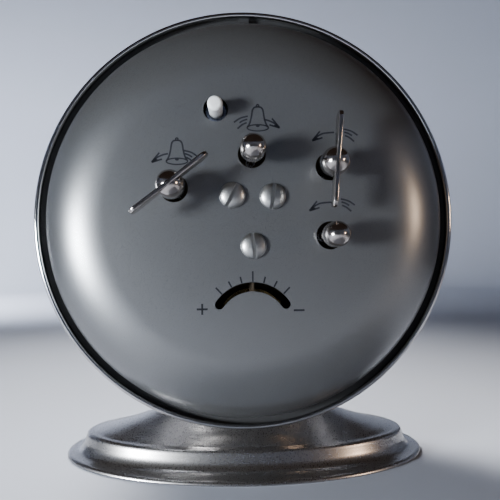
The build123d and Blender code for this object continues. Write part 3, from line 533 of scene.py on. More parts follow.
def lathe(profile: Sequence[Point2], segments: int = 192) -> bmesh.types.BMesh:
    """Turns a closed profile about the h axis.

    Args:
        profile: (radius, h) corners in order; a radius of 0 lies on the axis.
        segments: the number of steps round.

    Returns:
        A closed shape.
    """
    shape = bmesh.new()
    rings = []
    for radius, height in profile:
        if radius < ON_AXIS:
            rings.append([shape.verts.new((0.0, 0.0, height))])
        else:
            rings.append(oval(shape, radius, radius, height, segments))
    for ring, following in zip(rings, rings[1:] + rings[:1]):
        if len(ring) == 1 and len(following) == 1:
            continue
        for step in range(segments):
            after = (step + 1) % segments
            if len(ring) == 1:
                shape.faces.new((ring[0], following[step], following[after]))
            elif len(following) == 1:
                shape.faces.new((ring[step], following[0], ring[after]))
            else:
                shape.faces.new((ring[step], following[step], following[after], ring[after]))
    return shape


def bow(centre: Point2, across: float, along: float, start: float, end: float, steps: int) -> list[Point2]:
    """Points of an elliptical arc.

    Args:
        centre: the ellipse's centre.
        across: the half width.
        along: the half height.
        start: the first angle, in degrees.
        end: the last angle, in degrees.
        steps: the number of points less one.

    Returns:
        The points, both ends among them.
    """
    angles = [math.radians(start + (end - start) * step / steps) for step in range(steps + 1)]
    return [(centre[0] + across * math.cos(a), centre[1] + along * math.sin(a)) for a in angles]


def round_outline(centre: Point2, radius: float, steps: int) -> list[Point2]:
    """The corners of a closed circle, none of them twice."""
    return bow(centre, radius, radius, 0, FULL_TURN, steps)[:-1]


def between(a: float, b: float, c: float, d: float, t: float) -> float:
    """A value on the smooth curve through four values.

    Args:
        a: the value before.
        b: the value at the start.
        c: the value at the end.
        d: the value after.
        t: how far from b to c, from 0 to 1.

    Returns:
        The value there.
    """
    rise, bend, twist = c - a, 2 * a - 5 * b + 4 * c - d, 3 * b - a - 3 * c + d
    return 0.5 * (2 * b + rise * t + bend * t**2 + twist * t**3)


def smoothed(points: Sequence[Point2], steps: int) -> list[Point2]:
    """A smooth line through points.

    Args:
        points: the points that the line goes through.
        steps: the steps between two of them.

    Returns:
        The points of the line.
    """
    line = []
    for n in range(len(points) - 1):
        near = points[max(n - 1, 0)], points[n], points[n + 1], points[min(n + 2, len(points) - 1)]
        for step in range(steps):
            line.append(tuple(between(*values, step / steps) for values in zip(*near)))
    line.append(tuple(points[-1]))
    return line


def prism(outline: Sequence[Point2], low: float, high: float) -> bmesh.types.BMesh:
    """A straight-sided solid over an outline.

    Args:
        outline: the corners, in order.
        low: the lower end.
        high: the upper end.

    Returns:
        A closed shape.
    """
    shape = bmesh.new()
    bottom = [shape.verts.new((x, y, low)) for x, y in outline]
    top = [shape.verts.new((x, y, high)) for x, y in outline]
    shape.faces.new(bottom[::-1])
    shape.faces.new(top)
    for n in range(len(outline)):
        after = (n + 1) % len(outline)
        shape.faces.new((bottom[n], bottom[after], top[after], top[n]))
    return shape


def carve(mesh: bpy.types.Mesh, *cutters: bpy.types.Mesh) -> bpy.types.Mesh:
    """Cuts shapes out of a mesh.

    Args:
        mesh: the mesh to cut.
        cutters: the meshes that are taken away.

    Returns:
        The cut mesh.
    """
    body = held("blank", mesh)
    tools = []
    for cutter in cutters:
        tool = held("cutter", cutter)
        tools.append(tool)
        step = body.modifiers.new("cut", "BOOLEAN")
        step.operation = "DIFFERENCE"
        step.solver = "EXACT"
        step.object = tool
    cut = evaluated(body)
    for spare in (body, *tools):
        bpy.data.objects.remove(spare)
    return cut


def rounded(mesh: bpy.types.Mesh, width: float, segments: int = 2) -> bpy.types.Mesh:
    """Rounds the crisp edges of a mesh.

    Args:
        mesh: the mesh, in metres.
        width: the width of the rounding, in millimetres.
        segments: the number of steps across it.

    Returns:
        The rounded mesh.
    """
    blank = held("blank", mesh)
    bevel = blank.modifiers.new("round", "BEVEL")
    bevel.width = width * MM
    bevel.segments = segments
    bevel.limit_method = "ANGLE"
    bevel.angle_limit = math.radians(BEVELLED_OVER)
    made = evaluated(blank)
    bpy.data.objects.remove(blank)
    return made


def joined(meshes: Iterable[bpy.types.Mesh]) -> bpy.types.Mesh:
    """Puts several meshes into one.

    Args:
        meshes: the meshes, each in its place.

    Returns:
        One mesh of them all.
    """
    whole = bmesh.new()
    for mesh in meshes:
        whole.from_mesh(mesh)
    mesh = bpy.data.meshes.new("joined")
    whole.to_mesh(mesh)
    whole.free()
    return mesh


class BarRing:
    """A Geometry Nodes tree that sets bars on an arc, each pointing away from the middle."""

    SIZES = ("Radius", "Start", "Step", "Length", "Width", "Height")

    def __init__(self) -> None:
        """Builds the tree with its named inputs."""
        self.tree = bpy.data.node_groups.new("bar_ring", "GeometryNodeTree")
        self._socket("Geometry", "Geometry", "OUTPUT")
        self.sockets = {"Count": self._socket("Count", "Int")}
        self.sockets |= {name: self._socket(name, "Float") for name in self.SIZES}
        self.sockets["Finish"] = self._socket("Finish", "Material")
        add, link = self.tree.nodes.new, self.tree.links.new
        given, result = add("NodeGroupInput"), add("NodeGroupOutput")
        points, number = add("GeometryNodePoints"), add("GeometryNodeInputIndex")
        link(given.outputs["Count"], points.inputs["Count"])
        turn = self._math("MULTIPLY_ADD", number.outputs[0], given.outputs["Step"], given.outputs["Start"])
        across = self._math("MULTIPLY", self._math("COSINE", turn), given.outputs["Radius"])
        up = self._math("MULTIPLY", self._math("SINE", turn), given.outputs["Radius"])
        place, angle, size = (add("ShaderNodeCombineXYZ") for _ in range(3))
        link(across, place.inputs["X"])
        link(up, place.inputs["Y"])
        link(place.outputs[0], points.inputs["Position"])
        link(turn, angle.inputs["Z"])
        for axis, name in zip("XYZ", ("Length", "Width", "Height")):
            link(given.outputs[name], size.inputs[axis])
        bar, spread = add("GeometryNodeMeshCube"), add("GeometryNodeInstanceOnPoints")
        link(size.outputs[0], bar.inputs["Size"])
        link(points.outputs[0], spread.inputs["Points"])
        link(bar.outputs["Mesh"], spread.inputs["Instance"])
        link(angle.outputs[0], spread.inputs["Rotation"])
        real, dress = add("GeometryNodeRealizeInstances"), add("GeometryNodeSetMaterial")
        link(spread.outputs[0], real.inputs[0])
        link(real.outputs[0], dress.inputs["Geometry"])
        link(given.outputs["Finish"], dress.inputs["Material"])
        link(dress.outputs[0], result.inputs[0])

    def _socket(self, name: str, kind: str, way: str = "INPUT") -> bpy.types.NodeTreeInterfaceSocket:
        """Adds a named input, or an output, to the tree."""
        return self.tree.interface.new_socket(name, in_out=way, socket_type="NodeSocket" + kind)

    def _math(self, operation: str, *values: bpy.types.NodeSocket) -> bpy.types.NodeSocket:
        """Adds a sum to the tree.

        Args:
            operation: the kind of sum.
            values: the sockets that it takes.

        Returns:
            The socket of its answer.
        """
        node = self.tree.nodes.new("ShaderNodeMath")
        node.operation = operation
        for value, socket in zip(values, node.inputs):
            self.tree.links.new(value, socket)
        return node.outputs[0]

    def mesh(self, matrix: Matrix, finish: Finish, count: int, **sizes: float) -> bpy.types.Mesh:
        """Makes the bars.

        Args:
            matrix: the frame that the sizes are in.
            finish: the finish of the bars.
            count: the number of bars.
            sizes: Radius, Start, Step, Length, Width and Height, in millimetres and radians.

        Returns:
            The mesh, in its place.
        """
        holder = held("bars", bpy.data.meshes.new("bars"))
        step = holder.modifiers.new("bars", "NODES")
        step.node_group = self.tree
        step[self.sockets["Count"].identifier] = count
        step[self.sockets["Finish"].identifier] = finish.material()
        for name, value in sizes.items():
            step[self.sockets[name].identifier] = float(value)
        holder.update_tag()
        made = evaluated(holder)
        holder.modifiers.remove(step)
        bpy.data.objects.remove(holder)
        made.transform(matrix)
        return made


# ---------------------------------------------------------------- case
@dataclass
class Case:
    """The drum, the bezel and the glass, all turned about the case axis.

    The bezel's section is given as (inwards from its edge, rearwards from its front).
    """

    bench: Bench
    segments: int = 256
    wall: float = 0.8
    gap: float = 0.02
    bead: float = 1.4
    roll_arc: Point2 = (-20.0, 200.0)  # the part of a circle that the bead goes round, in degrees
    groove: float = 0.25
    groove_run: tuple[float, float, float] = (2.6, 2.0, 1.5)  # its start, floor and end before the rear edge
    fold: Point2 = (0.3, 2.2)  # how far the rolled edge turns in, and where it meets the wall
    crown: tuple[Point2, ...] = (
        (0.6, 4.5), (0.06, 3.8), (0.2, 2.5), (1.6, 0.6), (3.5, 0.0), (5.4, 0.6), (6.8, 1.85)
    )
    lip: tuple[Point2, ...] = ((4.9, 2.55), (4.9, 4.5))
    skirt: Point2 = (1.7, 1.3)  # the inner and outer face of the tail inside the drum, inwards from the edge
    glass_thick: float = 1.5
    glass_segments: int = 128

    def build(self) -> None:
        """Builds the three turned pieces."""
        self._drum()
        self._bezel()
        self._glass()

    def _drum(self) -> None:
        """The drum, with its rear edge rolled into a round bead."""
        outer = self.bench.drum_radius()
        front, rear = self.bench.ends("case_drum")
        inner, waist, roll = outer - self.wall, outer - self.groove, self.bead / 2
        start, floor, end = (rear - run for run in self.groove_run)
        profile = [(inner, front + self.gap), (outer, front + self.gap)]
        profile += [(outer, start), (waist, floor), (waist, end)]
        profile += bow((outer + BEAD_PROUD - roll, rear - roll), roll, roll, *self.roll_arc, steps=18)
        profile += [(inner - self.fold[0], end), (inner, rear - self.fold[1])]
        drum = baked(lathe(profile, self.segments), self.bench.rear())
        piece = finished("drum_shell", drum, CHROME, "case")
        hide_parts("case_drum")

    def _bezel(self) -> None:
        """The rounded bezel ring that holds the glass, with a tail that goes into the drum."""
        outer = half_width("bezel")
        front, rear = self.bench.ends("bezel")
        crown, lip = ([(outer - a, front + b) for a, b in points] for points in (self.crown, self.lip))
        tail_inner, tail_outer = (outer - a for a in self.skirt)
        seat = crown[0][1]
        profile = [(tail_inner, seat)] + smoothed(crown, steps=6) + lip
        ring = baked(lathe(profile, self.segments), self.bench.rear())
        profile = [(tail_inner, seat), (tail_inner, rear), (tail_outer, rear), (tail_outer, seat)]
        tail = baked(lathe(profile), self.bench.rear())
        piece = finished("bezel_ring", joined([ring, tail]), CHROME, "case", TURNED)
        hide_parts("bezel")

    def _glass(self) -> None:
        """The domed glass."""
        radius = half_width("glass")
        front, rear = self.bench.ends("glass")
        rise = rear - front - self.glass_thick
        dome = (radius**2 + rise**2) / (2 * rise)
        half = math.degrees(math.asin(radius / dome))
        outside = bow((0, front + dome), dome, dome, -90, -90 + half, steps=20)
        outside[0] = (0.0, front)
        inside = [(r, h + self.glass_thick) for r, h in reversed(outside)]
        pane = baked(lathe(outside + inside, self.glass_segments), self.bench.rear())
        piece = finished("dial_glass", pane, ClearGlass(), "case", TURNED)
        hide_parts("glass")


class Way(Enum):
    """Which way an arrow points."""

    LEFT = 1
    RIGHT = -1


@dataclass(frozen=True)
class Sign:
    """A turning arrow beside a key or a knob, with or without a bell over it.

    Args:
        node: the node that it belongs to.
        tip: the arrow's point, from the node's middle.
        way: the way that it points.
        shaft: how far its shaft goes back from the point.
        bell: the middle of the bell's body, from the node's middle.
    """

    node: str
    tip: Point2
    way: Way
    shaft: float
    bell: Point2 | None = None


@dataclass
class Cover:
    """The pressed back cover with its holes, its regulator slot and its printed signs."""

    bench: Bench
    bars: BarRing
    segments: int = 256
    thick: float = 0.7
    flat_radius: float = 35.1
    shoulder: float = 11.0
    through: Point2 = (-3.0, 2.0)  # the heights between which a hole is cut
    hole: float = 3.53
    button_hole: float = 3.1
    slot_radius: float = 10.0
    slot_width: float = 2.34
    slot_half: float = 56.0
    lift: float = 0.002
    ink: float = 0.02
    line: float = 0.42
    signs: tuple[Sign, ...] = (
        Sign("alarm_winding_arbor", (-5.5, 6.35), Way.LEFT, 4.15, (0.85, 9.15)),
        Sign("alarm_set_knob", (7.05, 6.4), Way.RIGHT, 4.05, (1.5, 9.0)),
        Sign("time_winding_arbor", (-4.4, 6.3), Way.LEFT, 5.6),
        Sign("time_set_knob", (-5.35, 6.1), Way.LEFT, 5.6),
    )
    streaks: tuple[tuple[Point2, ...], ...] = (
        ((0.1, 0.12), (2.0, 2.45)),
        ((0.1, 0.08), (2.65, 0.85)),
        ((8.0, 3.0), (9.9, 2.5), (11.5, 1.45)),
        ((8.15, 2.25), (9.2, 1.9), (10.1, 1.35)),
        ((8.3, 1.4), (9.4, 0.9), (10.6, -0.1)),
    )
    arrow_head: tuple[Point2, ...] = ((0.0, 0.0), (1.9, 0.6), (1.15, 1.0), (1.4, 1.75))
    shaft: tuple[Point2, ...] = ((0.7, 0.75), (1.7, 1.4), (3.0, 1.95))
    shaft_rise: float = 2.2
    bell_side: tuple[Point2, ...] = (
        (0.0, 2.75), (0.78, 2.6), (1.22, 2.1), (1.4, 1.4),
        (1.55, 0.4), (1.85, -0.9), (2.2, -1.75), (2.62, -2.4),
    )
    bell_mouth: Oval = (2.66, 0.78, -2.5)  # half width, half height, and how far up it stands
    bell_knob: Oval = (0.3, 0.3, 3.0)
    clapper: Oval = (0.5, 0.36, -1.98)
    mouth_line: float = 0.34
    knob_line: float = 0.36
    tick_start: float = 11.25
    tick_width: float = 0.4
    ticks: tuple[tuple[float, tuple[int, ...]], ...] = (  # the outer radius of the ticks at some angles
        (13.9, (0,)),
        (13.5, (-43, 43)),
        (12.9, (-28, -14, 14, 28)),
    )
    plus: Point2 = (-12.6, 4.55)
    minus: Point2 = (11.5, 4.1)
    sign_half: float = 1.35
    sign_line: float = 0.48

    def build(self) -> None:
        """Builds the cover and its print."""
        self._shell()
        self._signs()
        self._scale()

    def _place(self, node: str) -> Point2:
        """A node's middle, in millimetres from the case axis as seen from behind."""
        at = (middle(node) - self.bench.centre) / MM
        return (-at.x, at.z)

    def _shell(self) -> None:
        """The bowl of the cover, with everything that passes through it cut out."""
        radius, (rim, _) = half_width("rear_cover"), self.bench.ends("rear_cover")
        corner, across = (self.flat_radius, -self.shoulder), radius - self.flat_radius
        outside = [(0.0, 0.0), (self.flat_radius / 2, 0.0)]
        outside += bow(corner, across, self.shoulder, 90, 0, steps=40) + [(radius, rim)]
        inside = [(radius - self.thick, rim)]
        inside += bow(corner, across - self.thick, self.shoulder - self.thick, 0, 90, steps=40)
        inside += [(self.flat_radius / 2, -self.thick), (0.0, -self.thick)]
        bowl = baked(lathe(outside + inside, self.segments), self.bench.rear())
        turning = ("time_set_knob", "alarm_set_knob", "time_winding_arbor", "alarm_winding_arbor")
        holes = [(node, self.hole) for node in turning] + [("stop_button", self.button_hole)]
        cutters = [self._cutter(round_outline(self._place(node), size, steps=64)) for node, size in holes]
        cutters.append(self._cutter(self._slot()))
        piece = finished("back_cover", carve(bowl, *cutters), COVER_PAINT, "case", PRESSED)
        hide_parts("rear_cover")

    def _cutter(self, outline: Sequence[Point2]) -> bpy.types.Mesh:
        """A straight cutter through the cover's flat."""
        return baked(prism(outline, *self.through), self.bench.rear())

    def _slot(self) -> list[Point2]:
        """The outline of the regulator's curved slot, with round ends.

        Returns:
            Its corners, in order.
        """
        at, mid, half = self._place("balance"), self.slot_radius, self.slot_width / 2
        start, end = 90 - self.slot_half, 90 + self.slot_half
        outline = []
        sides = ((mid + half, start, end, end), (mid - half, end, start, start + 180))
        for radius, first, last, way in sides:
            outline += bow(at, radius, radius, first, last, steps=40)
            tip = bow(at, mid, mid, last, last, steps=1)[0]
            outline += bow(tip, half, half, way, way + 180, steps=10)[1:-1]
        return outline

    def _stroke(self, points: Sequence[Point2], width: float) -> bpy.types.Mesh:
        """A printed line.

        Args:
            points: the points that it goes through.
            width: the line's width.

        Returns:
            A thin closed ribbon over the line.
        """
        left, right = [], []
        for n, here in enumerate(points):
            before, after = points[max(n - 1, 0)], points[min(n + 1, len(points) - 1)]
            way = Vector((after[0] - before[0], after[1] - before[1])).normalized() * width / 2
            left.append((here[0] - way.y, here[1] + way.x))
            right.append((here[0] + way.y, here[1] - way.x))
        shape = bmesh.new()
        edges = [(side, height) for height in (self.lift, self.ink) for side in (left, right)]
        rows = [[shape.verts.new((*point, height)) for point in side] for side, height in edges]
        for n in range(len(points) - 1):
            for a, b in ((0, 1), (1, 3), (3, 2), (2, 0)):
                shape.faces.new((rows[a][n], rows[b][n], rows[b][n + 1], rows[a][n + 1]))
        for n in (0, len(points) - 1):
            shape.faces.new((rows[0][n], rows[1][n], rows[3][n], rows[2][n]))
        return baked(shape, self.bench.rear())

    def _arrow(self, sign: Sign) -> list[bpy.types.Mesh]:
        """A curved arrow with three streaks behind it.

        Args:
            sign: where it is and which way it points.

        Returns:
            The meshes of its strokes.
        """
        at, way = self._place(sign.node), sign.way.value
        tip = (at[0] + sign.tip[0], at[1] + sign.tip[1])
        strokes = []
        for points in ((*self.shaft, (sign.shaft, self.shaft_rise)), *self.streaks):
            moved = [(tip[0] + way * x, tip[1] + y) for x, y in points]
            strokes.append(self._stroke(smoothed(moved, steps=6), self.line))
        head = [(tip[0] + way * x, tip[1] + y) for x, y in self.arrow_head]
        strokes.append(baked(prism(head, self.lift, self.ink), self.bench.rear()))
        return strokes

    def _bell(self, sign: Sign) -> list[bpy.types.Mesh]:
        """A small bell in outline, with its clapper and its knob.

        Args:
            sign: where it is.

        Returns:
            The meshes of its strokes.
        """
        at = self._place(sign.node)
        centre = (at[0] + sign.bell[0], at[1] + sign.bell[1])
        strokes = []
        for way in (1, -1):
            side = [(centre[0] + way * x, centre[1] + y) for x, y in self.bell_side]
            strokes.append(self._stroke(smoothed(side, steps=5), self.line))
        for (across, along, up), steps, line in (
            (self.bell_mouth, 32, self.mouth_line),
            (self.bell_knob, 12, self.knob_line),
        ):
            ring = bow((centre[0], centre[1] + up), across, along, 0, FULL_TURN, steps)
            strokes.append(self._stroke(ring, line))
        across, along, up = self.clapper
        ring = bow((centre[0], centre[1] + up), across, along, 0, FULL_TURN, steps=14)
        strokes.append(baked(prism(ring[:-1], self.lift, self.ink), self.bench.rear()))
        return strokes

    def _signs(self) -> None:
        """The two bells and the four turning arrows."""
        strokes = []
        for sign in self.signs:
            if sign.bell:
                strokes += self._bell(sign)
            strokes += self._arrow(sign)
        finished("printed_signs", joined(strokes), INK, "case")

    def _scale(self) -> None:
        """The regulator's ticks, and its plus and minus signs."""
        at = self._place("balance")
        matrix = self.bench.rear() @ Matrix.Translation((*at, self.ink / 2 + self.lift / 2))
        marks = []
        for outer, angles in self.ticks:
            length = outer - self.tick_start
            sizes = {"Radius": self.tick_start + length / 2, "Step": 0.0}
            sizes |= {"Length": length, "Width": self.tick_width, "Height": self.ink}
            for angle in angles:
                sizes["Start"] = math.radians(90 + angle)
                marks.append(self.bars.mesh(matrix, INK, 1, **sizes))
        for place, angles in ((self.plus, (0, 90)), (self.minus, (0,))):
            spot = (at[0] + place[0], at[1] + place[1])
            for angle in angles:
                ends = bow(spot, self.sign_half, self.sign_half, angle + 180, angle, steps=1)
                marks.append(self._stroke(ends, self.sign_line))
        finished("printed_scale", joined(marks), INK, "case")


@dataclass
class Foot:
    """The pressed oval foot with its rolled flange.

    Its section is given as ovals (half width, half depth, height), from the flange inwards and up.
    """

    bench: Bench
    thick: float = 0.8
    segments: int = 160
    below: float = -1.0  # the inside is cut down to here, under the table
    roll: tuple[Point2, ...] = ((0.0, 0.0), (0.35, 0.12), (0.55, 0.45), (0.45, 0.85), (0.1, 1.15))
    flange: Point2 = (1.2, 1.2)  # where the roll meets the flat: inwards from the edge, and up
    barrel: Point2 = (-80.0, 20.0)
    upright_share: float = 0.9  # the sheet's thickness measured upright, as a share of its thickness
    steps: tuple[Oval, ...] = (
        (49.6, 25.0, 1.2), (48.9, 23.7, 1.45), (48.4, 22.8, 2.0), (47.6, 21.9, 3.2),
        (47.1, 21.3, 4.8), (46.85, 21.0, 5.7), (46.5, 20.7, 6.2), (45.8, 20.1, 6.5),
        (44.4, 19.2, 6.65), (42.2, 18.5, 7.15), (38.3, 17.3, 8.1), (33.5, 15.9, 9.5),
        (30.3, 14.8, 10.6), (26.2, 13.3, 12.4), (22.5, 12.0, 14.8), (19.5, 10.5, 19.0),
    )

    def build(self) -> None:
        """Builds the foot, trimmed to sit against the drum."""
        low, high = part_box("foot")
        stand = middle("foot")
        matrix = Matrix.Translation((stand.x, stand.y, 0.0)) @ Matrix.Scale(MM, 4)
        wide, deep = half_width("foot"), (high.y - low.y) / 2 / MM
        proud = max(out for out, _ in self.roll)
        rim = [(wide - proud + out, deep - proud + out, h) for out, h in self.roll]
        inwards, up = self.flange
        rim.append((wide - inwards, deep - inwards, up))
        walls = self._eased()
        outer = self._tower(rim + walls, matrix)
        drop = self.thick * self.upright_share
        inner = [(a - self.thick, b - self.thick, h - drop) for a, b, h in walls]
        inner[0] = (*inner[0][:2], self.below)
        radius = self.bench.drum_radius()
        hollow = carve(self._tower(inner, matrix), self._barrel(radius + self.thick))
        piece = finished("oval_foot", carve(outer, hollow, self._barrel(radius)), FOOT_STEEL, "case", TURNED)
        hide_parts("foot")

    def _eased(self) -> list[Oval]:
        """The foot's section, smoothed between its steps.

        Returns:
            The ovals, from the flange up.
        """
        wide = smoothed([(a, h) for a, _, h in self.steps], steps=4)
        deep = smoothed([(b, h) for _, b, h in self.steps], steps=4)
        return [(a, b, h) for (a, h), (b, _) in zip(wide, deep)]

    def _tower(self, rings: Sequence[Oval], matrix: Matrix) -> bpy.types.Mesh:
        """A closed stack of ovals.

        Args:
            rings: the ovals, from the lowest.
            matrix: the frame that the sizes are in.

        Returns:
            The mesh, in its place.
        """
        shape = bmesh.new()
        rows = [oval(shape, *ring, self.segments) for ring in rings]
        skin(shape, rows)
        shape.faces.new(rows[0][::-1])
        shape.faces.new(rows[-1])
        return baked(shape, matrix)

    def _barrel(self, radius: float) -> bpy.types.Mesh:
        """A cylinder about the case axis, longer than the case."""
        return baked(prism(round_outline((0.0, 0.0), radius, steps=256), *self.barrel), self.bench.rear())


# ---------------------------------------------------------------- keys, knobs, button and screws
@dataclass
class Controls:
    """Everything that a hand turns or presses on the back.

    Heights are over the cover's flat, and all sizes are in millimetres.
    """

    bench: Bench
    bars: BarRing
    low: float = -1.2
    neck: float = 1.8
    drill_point: float = 0.1
    key_bore: Point2 = (1.3, 3.0)  # the radius and the end of the hole for the arbor
    key_swell: tuple[Point2, ...] = ((1.8, 3.9), (2.1, 4.4), (3.0, 4.9), (3.35, 5.3))
    hub: float = 3.35
    hub_top: float = 11.7
    time_lean: float = 85.8  # the way each wing lies, in degrees
    alarm_lean: float = 38.0
    span: float = 22.4
    wing_thick: float = 1.05
    wing_round: float = 0.26
    wing_corner: float = 1.5
    wing_low: float = 8.0
    wing_high: float = 12.3
    wing_root: float = 1.0
    root_rise: float = 0.5
    wing_dip: tuple[Point2, ...] = ((5.5, 12.2), (2.6, 11.9), (1.0, 11.8))
    knob_bore: Point2 = (1.2, 5.1)
    knob_swell: tuple[Point2, ...] = ((1.8, 3.6), (2.05, 4.2), (2.75, 4.9), (3.0, 5.4))
    knob: float = 3.05
    knob_top: float = 12.5
    waist: float = 0.14  # how deep the knurled band is sunk
    band: Point2 = (5.6, 0.3)  # its start, and its end before the dome
    ribs: int = 40
    rib_long: float = 0.3
    rib_wide: float = 0.24
    rib_gap: float = 0.05
    rib_sunk: float = 0.02
    button_bore: Point2 = (1.42, 1.4)
    button_taper: float = 0.1
    button_steps: Point2 = (3.0, 1.0)  # where the taper changes, from the start and from the end
    button_round: float = 0.9
    button_arc: float = 75.0
    button_flat: float = 0.3  # the flat in the middle of the end, as a share of the radius
    lean: tuple[float, ...] = (62.0, 97.0, 81.4)  # the way each screw slot lies, in degrees
    slot_wide: float = 0.9
    slot_deep: float = 1.5
    head: float = 3.25
    head_edge: Point2 = (0.25, 0.2)
    dome_start: float = 0.45
    shank: float = 1.05
    shank_depth: float = -2.0  # what is deeper than this belongs to a shank
    wire: float = 0.25
    turns: int = 6
    turn_steps: int = 24
    wire_sides: int = 10
    travel: float = 3.0

    def build(self) -> None:
        """Builds the keys, the knobs, the button, its spring and the screw heads."""
        self._key("time_key", "time_winding", self.time_lean)
        self._key("alarm_key", "alarm_winding", self.alarm_lean)
        self._knob("time_set_knob", "time_setting")
        self._knob("alarm_set_knob", "alarm_setting")
        self._button()
        self._spring()
        self._screws()

    def _handle(
        self, bore: Point2, swell: Sequence[Point2], sides: Sequence[Point2], radius: float, top: float
    ) -> list[Point2]:
        """The profile of a turned handle: a neck that swells into a body with a round end.

        Args:
            bore: the radius of the hole for the arbor, and where its wall ends.
            swell: the points from the neck to the body.
            sides: the corners along the body.
            radius: the radius of the round end.
            top: the height of the end.

        Returns:
            Its (radius, height) corners.
        """
        rise = top - radius
        profile = [(bore[0], self.low), (self.neck, self.low)] + smoothed(swell, steps=4) + list(sides)
        profile += bow((0.0, rise), radius, radius, 0, 90, steps=18)[1:-1]
        return profile + [(0.0, top), (0.0, bore[1] + self.drill_point), bore]

    def _key(self, node: str, body: str, angle: float) -> None:
        """A wing key.

        Args:
            node: the node that it stands for.
            body: the body that it moves with.
            angle: the way the wing lies, in degrees.
        """
        frame = self.bench.rear("time_winding_arbor" if node == "time_key" else "alarm_winding_arbor")
        sides = [(self.hub, self.hub_top - self.hub)]
        profile = self._handle(self.key_bore, self.key_swell, sides, self.hub, self.hub_top)
        hub = baked(lathe(profile, segments=72), frame)
        half, corner = self.span / 2, self.wing_corner
        outline = [(self.wing_root, self.wing_low + self.root_rise)]
        outline += bow((half - corner, self.wing_low + corner), corner, corner, -90, 0, steps=8)
        outline += bow((half - corner, self.wing_high - corner), corner, corner, 0, 90, steps=8)
        outline += smoothed([(half - 2 * corner, self.wing_high), *self.wing_dip], steps=5)
        whole = outline + [(-x, y) for x, y in reversed(outline)]
        half_thick = self.wing_thick / 2
        plate = baked(prism(whole, -half_thick, half_thick), frame @ spun(angle) @ UPRIGHT)
        mesh = joined([hub, rounded(plate, self.wing_round, segments=3)])
        piece = finished(node + "_wings", mesh, NICKEL, body, TURNED)
        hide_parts(node)

    def _knob(self, node: str, body: str) -> None:
        """A small domed knob with a knurled band.

        Args:
            node: the node that it stands for.
            body: the body that it moves with.
        """
        matrix = self.bench.rear(node)
        rise, waist = self.knob_top - self.knob, self.knob - self.waist
        start, end = self.band[0], rise - self.band[1]
        sides = [(waist, start), (waist, end), (self.knob, rise)]
        profile = self._handle(self.knob_bore, self.knob_swell, sides, self.knob, self.knob_top)
        turned = baked(lathe(profile, segments=64), matrix)
        end -= self.rib_gap
        sizes = {"Radius": waist - self.rib_sunk, "Start": 0.0, "Step": math.tau / self.ribs}
        sizes |= {"Length": self.rib_long, "Width": self.rib_wide, "Height": end - start}
        belt = matrix @ Matrix.Translation((0, 0, (start + end) / 2))
        knurl = self.bars.mesh(belt, NICKEL, self.ribs, **sizes)
        piece = finished(node + "_dome", joined([turned, knurl]), NICKEL, body, TURNED)
        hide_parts(node)

    def _button(self) -> None:
        """The white push button, with a rounded and slightly tapered end."""
        start, end = self.bench.ends("stop_button")
        radius, (bore, deep), ease = half_width("stop_button"), self.button_bore, self.button_round
        (first, second), taper = self.button_steps, self.button_taper
        profile = [(0.0, start + deep), (bore, start + deep), (bore, start), (radius - taper, start)]
        profile += [(radius - taper / 2, start + first), (radius, end - second)]
        profile += bow((radius - ease, end - ease), ease, ease, 0, self.button_arc, steps=7)
        profile += [(radius * self.button_flat, end), (0.0, end)]
        mesh = baked(lathe(profile, segments=64), self.bench.rear("stop_button"))
        piece = finished("stop_button_cap", mesh, WHITE_PLASTIC, "stop_push", PRESSED)
        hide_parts("stop_button")

    def _screws(self) -> None:
        """The three domed cover screws with their slots."""
        thread, top = self.bench.ends("cover_screws")
        (inset, edge), dome = self.head_edge, self.dome_start
        profile = [(0.0, thread), (self.shank, thread), (self.shank, 0.0)]
        profile += [(self.head - inset, 0.0), (self.head, edge)]
        profile += bow((0.0, dome), self.head, top - dome, 0, 90, steps=14)[:-1] + [(0.0, top)]
        half, reach = self.slot_wide / 2, self.head + CLEAR
        slot = [(-reach, -half), (reach, -half), (reach, half), (-reach, half)]
        screws = []
        for (u, w), angle in zip(self._shanks("cover_screws"), self.lean):
            frame = self.bench.rear() @ Matrix.Translation((u, w, 0))
            cutter = baked(prism(slot, top - self.slot_deep, top + CLEAR), frame @ spun(angle))
            screws.append(carve(baked(lathe(profile, segments=72), frame), cutter))
        piece = finished("domed_screws", joined(screws), DULL_NICKEL, "case", TURNED)
        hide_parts("cover_screws")

    def _shanks(self, node: str) -> list[Point2]:
        """The places of the shanks of a node of several screws.

        Args:
            node: the node of the screws.

        Returns:
            Their middles, from the left as seen from behind.
        """
        back = self.bench.rear().inverted()
        corners = [back @ vertex.co for vertex in bpy.data.objects[node].data.vertices]
        corners = [corner.xy for corner in corners if corner.z < self.shank_depth]
        places: list[Point2] = []
        for corner in corners:
            if any(math.dist(corner, place) < self.head for place in places):
                continue
            near = [other for other in corners if math.dist(other, corner) < self.head]
            places.append(tuple((min(c[n] for c in near) + max(c[n] for c in near)) / 2 for n in (0, 1)))
        return sorted(places)

    def _spring(self) -> None:
        """The coil under the stop button."""
        front, rear = self.bench.ends("plunger_spring")
        start, end = front + self.wire, rear - self.wire
        radius, steps = half_width("plunger_spring") - self.wire, self.turns * self.turn_steps
        shape = bmesh.new()
        rings = []
        for step in range(steps + 1):
            angle = math.tau * self.turns * step / steps
            height = start + (end - start) * step / steps
            ring = []
            for side in range(self.wire_sides):
                way = math.tau * side / self.wire_sides
                out = radius + self.wire * math.cos(way)
                corner = (out * math.cos(angle), out * math.sin(angle), height + self.wire * math.sin(way))
                ring.append(shape.verts.new(corner))
            rings.append(ring)
        skin(shape, rings)
        shape.faces.new(rings[0])
        shape.faces.new(rings[-1])
        coil = baked(shape, self.bench.rear("stop_plunger"))
        # dark blued steel: painted shade for the coil down in the button's hole
        piece = finished("button_spring", coil, BLUED_STEEL_AND_SHADE, "case", COILED)
        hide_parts("plunger_spring")
        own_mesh(piece)


